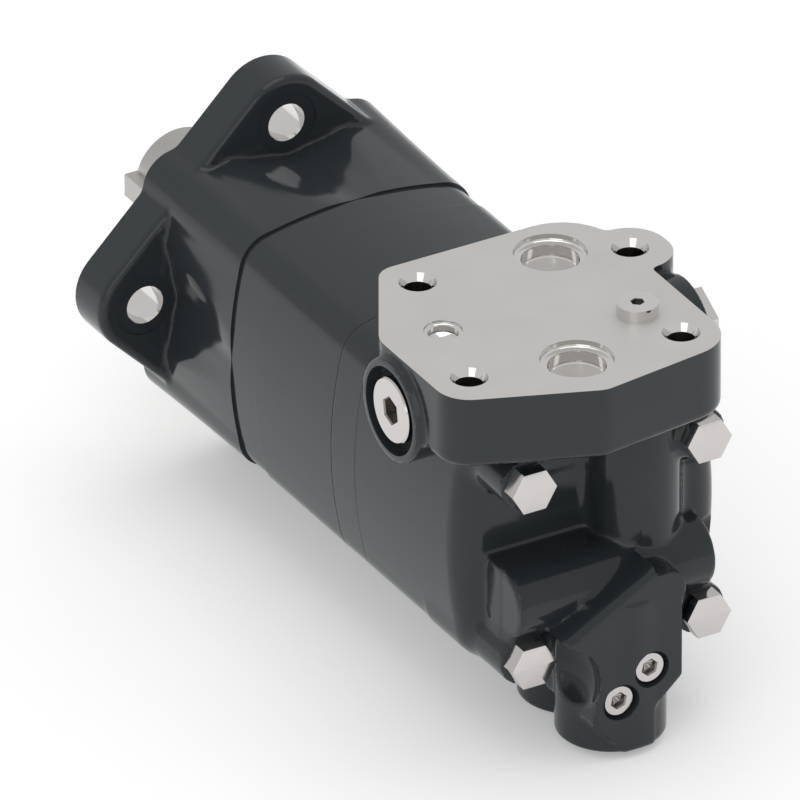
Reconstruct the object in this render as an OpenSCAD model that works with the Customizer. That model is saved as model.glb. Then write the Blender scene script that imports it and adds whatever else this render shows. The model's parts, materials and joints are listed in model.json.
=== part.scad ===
// Orbital hydraulic motor with a disc valve.
// The origin is the centre of the mounting face. The output shaft points along +Y,
// the manifold face of the rear casting looks up, along +Z, and +X is to the right
// of someone who stands behind the motor. Depths are counted rearwards from a face.

/* [Mounting flange] */
// Thickness of the four ears
flange_t = 17; // [15:0.5:19]
// Distance of the mounting holes from the shaft axis
bolt_circle_r = 53.2; // [52.5:0.1:54.5]
// Diameter of the mounting holes
mount_hole_d = 13.5; // [11:0.5:14.5]
// Corner radius of the ears
ear_r = 16.7; // [15.5:0.1:18]
// Diameter of the centring pilot
pilot_d = 82.55; // [78:0.05:88]
// Height of the pilot
pilot_h = 6; // [5:0.5:8]
// Depth of the narrow scoop behind each ear
scoop_depth = 5.3; // [3:0.1:5.5]
// Depth of the wide trough round that scoop
trough_depth = 4.3; // [3:0.1:4.5]
// Radius of that trough
trough_r = 65; // [60:1:70]

/* [Shaft] */
// Diameter of the output shaft
shaft_d = 31.75; // [30:0.05:32]
// How far the shaft stands out of the mounting face
shaft_reach = 56.5; // [50:0.5:62]
// Width of the square key
key_w = 7.94; // [7:0.02:8.5]
// Length of the key
key_len = 31.75; // [25:0.25:35]
// Depth of the key in the shaft
key_sink = 3.97; // [3.5:0.01:4.2]
// Gap between the key and the end of the shaft
key_end_gap = 0.8; // [0.5:0.1:2]
// Chamfer at the end of the shaft
shaft_chamfer = 1.5; // [1:0.1:2]
// Diameter of the journal under the seals
journal_d = 35; // [34:0.5:36]

/* [Body] */
// Half of the body's width across the flats
body_half = 46.8; // [46.4:0.1:48]
// Radius of the four slightly crowned sides
side_r = 146; // [140:1:155]
// Radius of the body's corners
corner_r = 12; // [11:0.5:13]
// Length of the front housing
housing_len = 61.3; // [60.8:0.1:64]
// Thickness of the wear plate
wear_plate_t = 15.5; // [14:0.5:17]
// How far the wear plate stands back from the body's outline
wear_plate_inset = 0.45; // [0.2:0.05:0.8]
// Length of the roller ring
ring_len = 49.9; // [48:0.1:52]
// Thickness of the valve plate
valve_plate_t = 15.6; // [14.5:0.1:17]
// How far the valve plate stands back from the body's outline
valve_plate_inset = 0.3; // [0.1:0.05:0.6]

/* [Bearings] */
// Width of both bearings
bearing_w = 16.5; // [16:0.1:16.8]
// How far a cup stands out past the small end of its cone
cup_lead = 1; // [0.8:0.1:1.2]
// Width of the shaft's collar between the bearings
collar_w = 4.5; // [4:0.1:5]
// Bore radius of the front cone
front_bore_r = 19; // [18.5:0.1:19.5]
// Outer radius of the front cup
front_cup_r = 34; // [33.5:0.1:34.5]
// Radius of the roller centres of the front bearing
front_mid_r = 26.5; // [26.2:0.1:26.8]
// Bore radius of the rear cone
rear_bore_r = 22.5; // [22:0.1:22.8]
// Outer radius of the rear cup
rear_cup_r = 36.5; // [36:0.1:36.8]
// Radius of the roller centres of the rear bearing
rear_mid_r = 29.5; // [29.2:0.1:29.8]
// Half angle of the roller axes
bearing_angle = 12; // [10:0.5:14]
// Middle radius of a bearing roller
bearing_roller_r = 3.3; // [3:0.05:3.4]
// Length of a bearing roller
bearing_roller_len = 12; // [11:0.1:12.2]
// Rollers in the front bearing
front_rollers = 18; // [14:1:18]
// Rollers in the rear bearing
rear_rollers = 20; // [16:1:20]
// Wall of the cages
cage_t = 1.2; // [1:0.1:1.4]
// Gap between a bearing roller and what is round it
bearing_gap = 0.15; // [0.12:0.01:0.2]

/* [Gear set] */
// Radius of the circle that the roller centres stand on
roller_circle_r = 30.5; // [30.2:0.05:30.7]
// Radius of a roller
roller_r = 6.3; // [6.1:0.05:6.5]
// Distance of the star's axis from the shaft axis
eccentricity = 2.4; // [2.2:0.05:2.5]
// Gap between the star and the rollers
lobe_gap = 0.08; // [0.06:0.01:0.12]
// Gap between a roller and its pocket
pocket_gap = 0.05; // [0.04:0.01:0.08]
// Gap between the star's tips and the ring's bore
tip_gap = 0.3; // [0.25:0.05:0.4]
// Gap at each end of what turns between two plates
end_gap = 0.05; // [0.04:0.01:0.08]

/* [Drives] */
// Teeth on each spline
spline_teeth = 12; // [10:1:12]
// Root radius of the drives' teeth
spline_root_r = 11.4; // [11.2:0.1:11.6]
// Tip radius of the drives' teeth
spline_tip_r = 13.2; // [13:0.1:13.4]
// Width of a tooth
spline_tooth_w = 3.2; // [2.8:0.1:3.3]
// Gap that lets the drives tilt in their splines
spline_gap = 0.45; // [0.42:0.01:0.5]
// Depth of the middle of the main drive's front teeth
drive_front_depth = 48.5; // [48:0.5:49.5]
// Depth of the middle of the main drive's rear teeth
drive_rear_depth = 97; // [96:0.5:98]
// Length of the main drive's teeth
drive_teeth_len = 12; // [10:0.5:12.5]
// Radius of the main drive's stem
drive_stem_r = 9.5; // [8.5:0.1:9.8]
// Depth of the middle of the valve drive's front teeth
valve_drive_depth = 116.5; // [116:0.5:117]
// Length of the valve drive's teeth
valve_teeth_len = 9; // [8:0.5:9.5]
// Radius of the valve drive's stem
valve_stem_r = 7.5; // [7:0.1:8]
// Thickness of the loose disc between the drives
drive_spacer_t = 3.5; // [3:0.1:4]

/* [Valve] */
// Thickness of the disc valve
disc_t = 14; // [13:0.5:15]
// Radius of the disc valve
disc_r = 32; // [31.5:0.1:32.4]
// Radius of the circle of the timing ports
port_circle_r = 26.3; // [26:0.1:26.5]
// Radius of a timing port
timing_port_r = 2.6; // [2.2:0.1:2.8]
// Length of the balance ring
balance_len = 11.6; // [11:0.1:12]
// Radius of the balance ring's hub
balance_hub_r = 28.8; // [28.5:0.1:29]
// Bore radius of the balance ring
balance_bore_r = 17; // [16:0.5:18]

/* [Rear casting] */
// Length of the square part of the rear casting
cover_len = 68.7; // [66:0.1:70]
// Rounding of the casting's rear edge
cover_round = 10; // [8:0.5:12]
// Height of the manifold face above the shaft axis
manifold_z = 76.2; // [75.5:0.1:78]
// Thickness of the manifold plate
manifold_t = 25.4; // [24.5:0.1:26]
// Height of the cross bore above the shaft axis
cross_bore_z = 56.2; // [55.8:0.1:56.6]
// Depth of the cross bore behind the casting's front face
cross_bore_depth = 58.1; // [57.5:0.1:58.5]
// Radius of the boss round the cross bore
cross_boss_r = 17.7; // [17.2:0.1:18]
// Length of that boss
cross_boss_len = 110.6; // [109:0.2:112]
// Place of its left rim
cross_left_x = -67.5; // [-68.5:0.1:-67]
// Radius of the spool
spool_r = 7.95; // [7.8:0.05:8]
// Radius of the neck below the manifold plate
neck_r = 14.6; // [14:0.1:15]
// Place of the neck and of the plug above it
neck_x = 15.8; // [15.4:0.1:16.2]
// Depth of the neck behind the casting's front face
neck_depth = 73.4; // [73:0.1:74]
// Radius of the lower cross boss
lower_boss_r = 12.3; // [11.8:0.1:12.4]
// Height of the lower cross boss
lower_boss_z = -13; // [-13.3:0.1:-12.5]
// Depth of the lower cross boss behind the casting's front face
lower_boss_depth = 79.7; // [79:0.1:80]
// Radius of the two bosses at the bottom
bottom_boss_r = 18.2; // [17.5:0.1:18.5]
// Height of their lower ends
bottom_z = -67.5; // [-69:0.5:-66.5]
// Depth of the rear bottom boss
rear_boss_depth = 83.9; // [83.5:0.1:84.2]
// Depth of the front bottom boss
front_boss_depth = 57.1; // [56.5:0.1:57.5]
// How far the flat rear face lies behind the axis of the rear boss
rear_pad_out = 17.5; // [17.2:0.1:18]
// Radius of the scoop in the left side of that boss
boss_scoop_r = 17.6; // [16.5:0.1:18]

/* [Fasteners and ports] */
// Distance of the tie bolts from the middle, along X and along Z
tie_offset = 32.6; // [32.4:0.1:32.8]
// Diameter of the tie bolts
tie_d = 9.525; // [9:0.025:9.6]
// Depth of the tie bolts' seats behind the casting's front face
tie_seat_depth = 85.4; // [84:0.1:87]
// Width across the flats of the tie bolts' heads
tie_head_af = 14.3; // [13:0.1:14.4]
// Height of those heads
tie_head_h = 6; // [5:0.5:7]
// Length of thread in the front housing
tie_grip = 22; // [18:1:23]
// Radius of the bosses that carry the tie bolts
tie_boss_r = 9; // [8.6:0.1:9.4]
// Bore radius of the two work ports
port_r = 9.5; // [9:0.1:10]
// Radius of the ring seat round each work port
port_seat_r = 12.1; // [11.8:0.1:12.5]
// Depth of that ring seat
port_seat_depth = 2.4; // [2:0.1:3]
// Bore radius of the four threaded holes in the manifold face
manifold_thread_r = 4.25; // [4:0.05:4.4]
// Depth of those holes
manifold_thread_depth = 19; // [16:0.5:20]
// Bore radius of the small service port
service_r = 4.2; // [3.8:0.1:4.6]
// Radius of the hollow-hexagon plug's head in the cross bore
left_head_r = 11.25; // [10.9:0.05:11.5]
// Width across the flats of the hexagon plug's head
right_head_af = 22.2; // [21.5:0.1:23]
// Height of that head
right_head_h = 6.3; // [5.5:0.1:7]
// Radius of the raised top plug
top_plug_r = 6.9; // [6.5:0.1:7.2]
// How far the top plug stands out
top_plug_h = 4.35; // [4:0.05:5]
// Radius of the two plugs in the rear face
rear_plug_r = 5.6; // [5.3:0.1:5.8]

/* [Fits] */
// Gap round a shaft that turns in a seal or a bore
running_gap = 0.05; // [0.04:0.01:0.08]
// Gap between a part and the hole that it is pushed or screwed into
slip_gap = 0.05; // [0.04:0.01:0.1]
// Gap round the tie bolts in the plates
tie_gap = 0.5; // [0.4:0.05:0.6]

/* [Hidden] */
$fn = 72;

// Colours
paint = [0.21, 0.23, 0.25];
steel = [0.72, 0.72, 0.71];
bright = [0.83, 0.82, 0.81];
dark_steel = [0.45, 0.46, 0.47];
rubber = [0.08, 0.08, 0.08];
spring_steel = [0.55, 0.56, 0.58];

// Faces of the stack, from front to rear
wear_y = -housing_len;
ring_y = wear_y - wear_plate_t;
valve_plate_y = ring_y - ring_len;
cover_y = valve_plate_y - valve_plate_t;

// Shaft and bearings
shaft_r = shaft_d / 2;
journal_r = journal_d / 2;
journal_front = pilot_h + 1.5;
front_cup_y = wear_y + 2 * (bearing_w + cup_lead) + collar_w;
collar_y = front_cup_y - cup_lead - bearing_w;
collar_r = front_bore_r + 6;
shaft_rear_y = collar_y - collar_w - bearing_w;
shaft_bore_y = -drive_front_depth + drive_teeth_len / 2 + 4.5;
dust_seal_r = journal_r + 6;
dust_seal_len = 5;
seal_r = 27;
seal_len = 9.3;
seal_y = front_cup_y + seal_len + 2.5;
washer_t = 2;
lip_r = journal_r + 0.8;
spot_depth = 0.6;
spot_margin = 4;

// Gear set
rollers = 7;
lobes = rollers - 1;
ring_bore_r = roller_circle_r + 2 * eccentricity - roller_r + tip_gap;
star_steps = 168;
main_tilt = atan(eccentricity / (drive_rear_depth - drive_front_depth));
main_span = (drive_rear_depth - drive_front_depth) / cos(main_tilt);
spacer_depth = (drive_rear_depth + valve_drive_depth - (valve_teeth_len - drive_teeth_len) / 2) / 2 + 0.3;
disc_mid_y = cover_y - end_gap - disc_t / 2;
valve_span_y = -valve_drive_depth - disc_mid_y;
valve_tilt = atan(eccentricity / valve_span_y);
valve_span = valve_span_y / cos(valve_tilt);
drive_bore_r = spline_tip_r + 4;

// Seal grooves in the plates
face_seal_in = roller_circle_r + roller_r + 0.8;
face_seal_w = 1.8;
face_seal_t = 1.4;

// Tie bolts
tie_r = tie_d / 2;
tie_places = [[-1, 1], [1, 1], [-1, -1], [1, -1]];

// Rear casting, with depths behind its front face
cavity_r = disc_r + 2;
cavity_depth = disc_t + 4 + 4.3;
hub_bore_r = balance_hub_r + 0.2;
hub_bore_depth = cavity_depth + 6.7;
balance_flange_t = 4;
balance_spring_n = 3;
balance_spring_circle = 23;
balance_spring_r = 2.3;
balance_spring_sink = 6;
plug_thread_r = 10;
plug_thread_len = 12.5;
left_counterbore_r = 15.05;
left_counterbore_depth = 5;
left_head_below = 0.4;
plug_seal_r = plug_thread_r + 1;
plug_seal_t = 1.5;
cross_right_x = cross_left_x + cross_boss_len;
left_plug_in = cross_left_x + left_counterbore_depth + plug_thread_len;
right_plug_in = cross_right_x - plug_thread_len;
spool_len = 44;
spool_mid = (left_plug_in + right_plug_in) / 2;
port_places = [[11.3, 25.4], [-15.8, 89]];
thread_places = [[-35.3, 20.6], [35.2, 35.5], [21.8, 91], [-51.7, 82]];
service_place = [-43.7, 51.4];
lower_boss_left = -38;
lower_boss_right = 35;
boss_plug_r = 8;
boss_plug_len = 9;
rear_plug_places = [[5.2, -39.2], [-6.3, -48.3]];
rear_plug_sink = 1.3;
rear_plug_head = 2;
rear_plug_len = 6;
rear_face_depth = rear_boss_depth + rear_pad_out;
boss_scoop_place = [-29, rear_boss_depth + 8.1, -39];
top_plug_sink = 0.3;
top_plug_len = 8;
front_boss_x = 1.5;
rear_boss_x = 0;
neck_drill_r = 4.5;
socket_af = 8;
top_socket_af = 4;
rear_socket_af = 4;
rear_socket_depth = 3;
shuttle_spring_r = spool_r - 2.05;
shuttle_wire_r = 0.9;
balance_wire_r = 0.5;

// Relief valves, with heights above the lower end of their boss
relief_head_r = 11.3;
relief_recess = 1;
relief_seat_up = 8;
relief_thread_r = 9;
relief_thread_up = 13.5;
relief_bore_r = 6.1;
relief_top_up = 37.5;
relief_hole_r = 3;
relief_lift_gap = 0.2;
poppet_len = 11;
poppet_nose = 3.3;
relief_wire_r = 0.8;

// Turns children so that their own z points rearwards from the face at y
module rearward(y) { translate([0, y, 0]) rotate([90, 0, 0]) children(); }

// Turns children so that their own z points along +X
module across(x, y, z) { translate([x, y, z]) rotate([0, 90, 0]) children(); }

module rod(y, len, r) { rearward(y) cylinder(r = r, h = len); }

module ring(y, len, inner, outer) {
    rearward(y) difference() {
        cylinder(r = outer, h = len);
        translate([0, 0, -1]) cylinder(r = inner, h = len + 2);
    }
}

// Points of an arc round c
function arc(c, r, a0, a1, n) = [for (i = [0:n]) c + r * [cos(a0 + (a1 - a0) * i / n), sin(a0 + (a1 - a0) * i / n)]];

// Outline of the body: four crowned sides and four round corners, set back by inset.
// The corner circle lies inside the side circle and touches it.
side_c = side_r - body_half;
corner_c = (sqrt(2 * pow(side_r - corner_r, 2) - side_c * side_c) - side_c) / 2;
touch_a = atan(corner_c / (corner_c + side_c));
function quarter(inset) = concat(
    arc([0, -side_c], side_r - inset, 90 - touch_a, 90 + touch_a, 12),
    arc([-corner_c, corner_c], corner_r - inset, 90 + touch_a + 1, 180 - touch_a - 1, 9));
function turned(p, a) = [p[0] * cos(a) - p[1] * sin(a), p[0] * sin(a) + p[1] * cos(a)];
function body_points(inset) = [for (k = [0:3]) each [for (p = quarter(inset)) turned(p, 90 * k)]];
module body_outline(inset = 0) { polygon(body_points(inset)); }

// A polygon whose corners are [x, y, radius]
function unit(v) = v / norm(v);
function swing(a) = (a + 540) % 360 - 180;
function corner(a, b, c, r, n) =
    let (u = unit(a - b), w = unit(c - b), half = acos(u * w) / 2, o = b + unit(u + w) * r / sin(half))
    let (p = b + u * r / tan(half) - o, q = b + w * r / tan(half) - o, a0 = atan2(p[1], p[0]))
    let (da = swing(atan2(q[1], q[0]) - a0))
    [for (i = [0:n]) o + r * [cos(a0 + da * i / n), sin(a0 + da * i / n)]];
function rounded(pts, n = 8) = [for (i = [0:len(pts) - 1])
    let (m = len(pts), a = pts[(i + m - 1) % m], b = pts[i], c = pts[(i + 1) % m])
    each corner([a[0], a[1]], [b[0], b[1]], [c[0], c[1]], b[2], n)];

// Straight-sided spline: n teeth of width w between the radii r0 and r1
function spline(n, r0, r1, w) = [for (k = [0:n - 1])
    each [for (p = [[r0, -1], [r1, -1], [r1, 1], [r0, 1]])
        turned([sqrt(p[0] * p[0] - w * w / 4), p[1] * w / 2], 360 * k / n)]];
module spline_teeth_outline() { polygon(spline(spline_teeth, spline_root_r, spline_tip_r, spline_tooth_w)); }
module spline_hole_outline() {
    g = spline_gap;
    polygon(spline(spline_teeth, spline_root_r + g, spline_tip_r + g, spline_tooth_w + 2 * g));
}

// Coil spring along its own z, as one swept tube of six sides
module coil(r, wire, len, turns) {
    steps = turns * 10;
    sides = 6;
    rise = len - 2 * wire;
    function point(i, j) =
        let (a = 360 * turns * i / steps, b = 360 * j / sides, d = r + wire * cos(b))
        [d * cos(a), d * sin(a), wire + rise * i / steps + wire * sin(b)];
    points = [for (i = [0:steps], j = [0:sides - 1]) point(i, j)];
    walls = [for (i = [0:steps - 1], j = [0:sides - 1])
        let (k = (j + 1) % sides)
        [i * sides + j, i * sides + k, (i + 1) * sides + k, (i + 1) * sides + j]];
    ends = [[for (j = [sides - 1:-1:0]) j], [for (j = [0:sides - 1]) steps * sides + j]];
    polyhedron(points, concat(walls, ends));
}

module tie_holes(y, len, r) {
    for (p = tie_places) translate([p[0] * tie_offset, 0, p[1] * tie_offset]) rod(y, len, r);
}

module face_groove(y, len) { ring(y, len, face_seal_in, face_seal_in + face_seal_w); }

// Front housing: square body, flange with four ears, pilot and stepped bores
module front_housing() {
    ear_tip = bolt_circle_r + ear_r * sqrt(2);
    scoop_r = bolt_circle_r - body_half + scoop_depth;
    hole_r = mount_hole_d / 2;
    color(paint) difference() {
        union() {
            rearward(0) linear_extrude(flange_t)
                polygon(rounded([for (p = [[1, 0], [0, 1], [-1, 0], [0, -1]]) [p[0] * ear_tip, p[1] * ear_tip, ear_r]], 14));
            rearward(0) linear_extrude(housing_len) body_outline();
            rod(pilot_h, pilot_h + 1, pilot_d / 2);
        }
        for (a = [0:90:270]) rotate([0, a, 0]) {
            translate([0, 0, bolt_circle_r]) {
                rod(1, flange_t + 2, hole_r);
                rod(-flange_t + spot_depth, 2, hole_r + spot_margin);
            }
            ear_scoop(scoop_r, bolt_circle_r, scoop_depth);
            ear_scoop(trough_r, body_half - trough_depth + trough_r, trough_depth);
        }
        rod(pilot_h + 1, dust_seal_len + 1.5, dust_seal_r + slip_gap);
        rod(pilot_h + 2, housing_len, lip_r);
        rod(seal_y, seal_len + washer_t + 2, seal_r + slip_gap);
        rod(front_cup_y, housing_len, front_cup_r + slip_gap);
        rod(collar_y - 3, housing_len, rear_cup_r + slip_gap);
        tie_holes(wear_y + tie_grip + 2, tie_grip + 3, tie_r + slip_gap);
    }
}

// Hollow behind one ear, round at the bottom, that runs out at the housing's rear face
module ear_scoop(r, height, depth) {
    tilt = atan(depth / (housing_len - flange_t));
    intersection() {
        translate([0, 0, height]) rearward(-flange_t) rotate([-tilt, 0, 0]) translate([0, 0, -r])
            cylinder(r = r, h = housing_len + r + 20);
        translate([-body_half, -flange_t - housing_len, 0]) cube([2 * body_half, housing_len, 2 * body_half]);
    }
}

module dust_seal() {
    color(rubber) ring(pilot_h - 0.3, dust_seal_len - 0.2, journal_r + running_gap, dust_seal_r);
}

module shaft_seal() {
    color(rubber) ring(seal_y, seal_len, journal_r + running_gap, seal_r);
}

module seal_washer() {
    color(steel) ring(seal_y - seal_len, washer_t, journal_r + 0.4, seal_r);
}

// Tapered roller bearing. Its own z runs from the small end to the large end, and all
// three cones share one apex on the axis.
function bearing_dist(mid_r) = mid_r / sin(bearing_angle);
function bearing_apex(mid_r) = bearing_w / 2 - mid_r / tan(bearing_angle);
function roller_angle(mid_r) = atan(bearing_roller_r / bearing_dist(mid_r));
function inner_race(mid_r, z) = (z - bearing_apex(mid_r)) * tan(bearing_angle - roller_angle(mid_r));
function outer_race(mid_r, z) = (z - bearing_apex(mid_r)) * tan(bearing_angle + roller_angle(mid_r));
function middle_cone(mid_r, z) = mid_r + (z - bearing_w / 2) * tan(bearing_angle);

module bearing_cup(mid_r, outer_r) {
    z0 = -cup_lead;
    z1 = bearing_w - cup_lead;
    rotate_extrude() polygon([
        [outer_race(mid_r, z0), z0], [outer_r, z0], [outer_r, z1], [outer_race(mid_r, z1), z1]]);
}

module bearing_cone(mid_r, bore_r) {
    reach = bearing_roller_len / 2 * cos(bearing_angle);
    lean = bearing_roller_r * sin(bearing_angle);
    z0 = bearing_w / 2 - reach + lean - 0.3;
    z1 = bearing_w / 2 + reach + lean + 0.2;
    r0 = inner_race(mid_r, z0);
    r1 = inner_race(mid_r, z1);
    rotate_extrude() polygon([
        [bore_r, 0], [r0 + 0.8, 0], [r0 + 0.8, z0], [r0, z0], [r1, z1], [r1 + 1.6, z1], [r1 + 1.6, bearing_w],
        [bore_r, bearing_w]]);
}

// The rollers, or with more than 0 as extra the pockets for them
module bearing_rollers(mid_r, n, extra) {
    d0 = bearing_dist(mid_r) - bearing_roller_len / 2 - extra;
    d1 = bearing_dist(mid_r) + bearing_roller_len / 2 + extra;
    t = tan(roller_angle(mid_r));
    for (k = [0:n - 1]) rotate([0, 0, 360 * k / n])
        translate([0, 0, bearing_apex(mid_r)]) rotate([0, bearing_angle, 0]) translate([0, 0, d0])
            cylinder(r1 = t * d0 - bearing_gap + extra, r2 = t * d1 - bearing_gap + extra, h = d1 - d0);
}

module bearing_cage(mid_r, n) {
    z0 = 1.3;
    z1 = bearing_w - 0.4;
    h = cage_t / 2;
    difference() {
        rotate_extrude() polygon([
            [middle_cone(mid_r, z0) - h, z0], [middle_cone(mid_r, z0) + h, z0],
            [middle_cone(mid_r, z1) + h, z1], [middle_cone(mid_r, z1) - h, z1]]);
        bearing_rollers(mid_r, n, bearing_gap);
    }
}

module at_front_bearing() { rearward(front_cup_y - cup_lead) children(); }
module at_rear_bearing() { translate([0, shaft_rear_y, 0]) rotate([-90, 0, 0]) children(); }

module front_bearing_cup() { color(steel) at_front_bearing() bearing_cup(front_mid_r, front_cup_r); }
module front_bearing_cone() { color(steel) at_front_bearing() bearing_cone(front_mid_r, front_bore_r); }
module front_bearing_rollers() { color(bright) at_front_bearing() bearing_rollers(front_mid_r, front_rollers, 0); }
module front_bearing_cage() { color(dark_steel) at_front_bearing() bearing_cage(front_mid_r, front_rollers); }
module rear_bearing_cup() { color(steel) at_rear_bearing() bearing_cup(rear_mid_r, rear_cup_r); }
module rear_bearing_cone() { color(steel) at_rear_bearing() bearing_cone(rear_mid_r, rear_bore_r); }
module rear_bearing_rollers() { color(bright) at_rear_bearing() bearing_rollers(rear_mid_r, rear_rollers, 0); }
module rear_bearing_cage() { color(dark_steel) at_rear_bearing() bearing_cage(rear_mid_r, rear_rollers); }

// Output shaft: turned outside, with the internal spline for the main drive
module output_shaft() {
    key_y = shaft_reach - key_end_gap;
    color(steel) difference() {
        union() {
            rearward(shaft_reach) rotate_extrude() polygon([
                [0, 0], [shaft_r - shaft_chamfer, 0], [shaft_r, shaft_chamfer], [shaft_r, shaft_reach], [0, shaft_reach]]);
            rod(journal_front, journal_front - front_cup_y + cup_lead, journal_r);
            rod(front_cup_y - cup_lead, bearing_w, front_bore_r - slip_gap);
            rod(collar_y, collar_w, collar_r);
            rod(collar_y - collar_w, bearing_w, rear_bore_r - slip_gap);
        }
        rearward(-drive_front_depth + drive_teeth_len / 2 + 1.5) linear_extrude(housing_len) spline_hole_outline();
        rod(shaft_bore_y, 3.2, spline_root_r);
        rod(shaft_reach + 1, 21, 4);
        translate([-shaft_r - 5, key_y - key_len, -key_w / 2]) cube([5 + key_sink, key_len, key_w]);
    }
}

module shaft_key() {
    key_y = shaft_reach - key_end_gap;
    color(bright) translate([-shaft_r + key_sink - key_w, key_y - key_len, -key_w / 2]) cube([key_w, key_len, key_w]);
}

// Drives: local origin at the middle of the front teeth, z along the tilted axis
module at_main_drive() { rearward(-drive_front_depth) rotate([0, main_tilt, 0]) children(); }
module at_valve_drive() {
    translate([eccentricity, -valve_drive_depth, 0]) rotate([90, 0, 0]) rotate([0, -valve_tilt, 0]) children();
}

module drive(span, teeth_len, stem_r) {
    for (z = [0, span]) translate([0, 0, z - teeth_len / 2]) linear_extrude(teeth_len) spline_teeth_outline();
    translate([0, 0, -teeth_len / 2 - 1.5]) cylinder(r = stem_r, h = span + teeth_len + 3);
}

module main_drive() { color(dark_steel) at_main_drive() drive(main_span, drive_teeth_len, drive_stem_r); }
module valve_drive() { color(dark_steel) at_valve_drive() drive(valve_span, valve_teeth_len, valve_stem_r); }

module drive_spacer() {
    color(steel) translate([eccentricity, 0, 0])
        rod(-spacer_depth + drive_spacer_t / 2, drive_spacer_t, spline_root_r + spline_gap - 0.25);
}

// The three plates of the stack
module housing_face_seal() { color(rubber) face_groove(wear_y, face_seal_t); }

module spacer_plate() {
    color(paint) difference() {
        rearward(wear_y) linear_extrude(wear_plate_t) body_outline(wear_plate_inset);
        rod(wear_y + 1, wear_plate_t + 2, drive_bore_r);
        tie_holes(wear_y + 1, wear_plate_t + 2, tie_r + tie_gap);
        face_groove(wear_y + 1, 1 + face_seal_t);
        face_groove(ring_y + face_seal_t, 1 + face_seal_t);
    }
}

module ring_front_seal() { color(rubber) face_groove(ring_y + face_seal_t, face_seal_t); }

module ring_rear_seal() { color(rubber) face_groove(valve_plate_y, face_seal_t); }

module valve_plate() {
    color(paint) difference() {
        rearward(valve_plate_y) linear_extrude(valve_plate_t) body_outline(valve_plate_inset);
        rod(valve_plate_y + 1, valve_plate_t + 2, spline_tip_r + 2.5);
        tie_holes(valve_plate_y + 1, valve_plate_t + 2, tie_r + tie_gap);
        face_groove(valve_plate_y + 1, 1 + face_seal_t);
        face_groove(cover_y + face_seal_t, 1 + face_seal_t);
        for (k = [0:rollers - 1]) rotate([0, 360 * (k + 0.5) / rollers, 0])
            translate([port_circle_r, 0, 0]) rod(valve_plate_y + 1, valve_plate_t + 2, timing_port_r);
    }
}

module cover_face_seal() { color(rubber) face_groove(cover_y + face_seal_t, face_seal_t); }

// Gear set: a ring that holds seven rollers, and the six-lobed star that orbits in it
module geroler_ring() {
    color(paint) difference() {
        rearward(ring_y) linear_extrude(ring_len) body_outline();
        rod(ring_y + 1, ring_len + 2, ring_bore_r);
        for (k = [0:rollers - 1]) rotate([0, 360 * k / rollers, 0])
            translate([roller_circle_r, 0, 0]) rod(ring_y + 1, ring_len + 2, roller_r + pocket_gap);
        tie_holes(ring_y + 1, ring_len + 2, tie_r + tie_gap);
    }
}

// The star's outline runs at a roller's radius inside the path of a roller's centre,
// as the star sees it: R at the angle t, less the eccentricity at seven times t.
function star_point(t) =
    let (c = [cos(t), sin(t)], s = [-sin(t), cos(t)], c7 = [cos(rollers * t), sin(rollers * t)])
    let (s7 = [-sin(rollers * t), cos(rollers * t)], d = roller_circle_r * s - rollers * eccentricity * s7)
    roller_circle_r * c - eccentricity * c7 - (roller_r + lobe_gap) * unit([d[1], -d[0]]);

module geroler_star() {
    color(steel) translate([eccentricity, 0, 0]) rearward(ring_y - end_gap) linear_extrude(ring_len - 2 * end_gap)
        difference() {
            polygon([for (i = [0:star_steps - 1]) star_point(360 * i / star_steps)]);
            spline_hole_outline();
        }
}

module roller(k) {
    color(bright) rotate([0, 360 * k / rollers, 0])
        translate([roller_circle_r, 0, 0]) rod(ring_y - end_gap, ring_len - 2 * end_gap, roller_r);
}

// Disc valve: six slots open at the rim and six holes through, on the circle of the ports
module disc_valve() {
    color(steel) difference() {
        rod(cover_y - end_gap, disc_t, disc_r);
        rearward(cover_y + 1) linear_extrude(disc_t + 3) spline_hole_outline();
        for (k = [0:lobes - 1]) rotate([0, 360 * k / lobes, 0]) {
            translate([port_circle_r - timing_port_r, cover_y - end_gap - 6, -timing_port_r])
                cube([disc_r, 7, 2 * timing_port_r]);
            rotate([0, 180 / lobes, 0]) translate([port_circle_r, 0, 0]) rod(cover_y + 1, disc_t + 3, timing_port_r);
        }
    }
}

// Balance ring behind the disc valve, with its seals and springs
balance_y = cover_y - 2 * end_gap - disc_t;
balance_rear_y = balance_y - balance_len;

module balance_ring() {
    color(steel) difference() {
        union() {
            rod(balance_y, balance_flange_t, cavity_r - 0.2);
            rod(balance_y, balance_len, balance_hub_r);
        }
        rod(balance_y + 1, balance_len + 2, balance_bore_r);
        ring(balance_rear_y + 2, 3, balance_bore_r - 1, balance_bore_r + 2);
    }
}

module balance_outer_seal() {
    y = balance_y - balance_flange_t;
    color(rubber) ring(y, y - cover_y + cavity_depth, balance_hub_r, cavity_r - 0.2);
}

module balance_inner_seal() {
    color(rubber) ring(balance_rear_y + 2, 2, balance_bore_r, balance_bore_r + 2);
}

module balance_springs() {
    color(spring_steel) for (k = [0:balance_spring_n - 1]) rotate([0, 360 * k / balance_spring_n + 90, 0])
        translate([balance_spring_circle, 0, 0]) rearward(balance_rear_y - 0.05)
            coil(balance_spring_r, balance_wire_r, hub_bore_depth + balance_spring_sink + balance_rear_y - cover_y - 0.1, 4);
}

// Outline of the manifold plate seen from above, as [x, depth, radius]
function flipped(pts) = [for (p = pts) [p[0], -p[1], p[2]]];
manifold_corners = [
    [-42.4, 7.8, 5], [34.2, 7.8, 19.8], [34.2, 104.3, 12], [-17.5, 111.2, 9], [-64.9, 92.6, 12], [-64.9, 46.8, 8]];
manifold_lobe = [[20, 23, 2], [47.4, 23, 9], [47.4, 50.3, 8.5], [20, 50.3, 2]];

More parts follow.
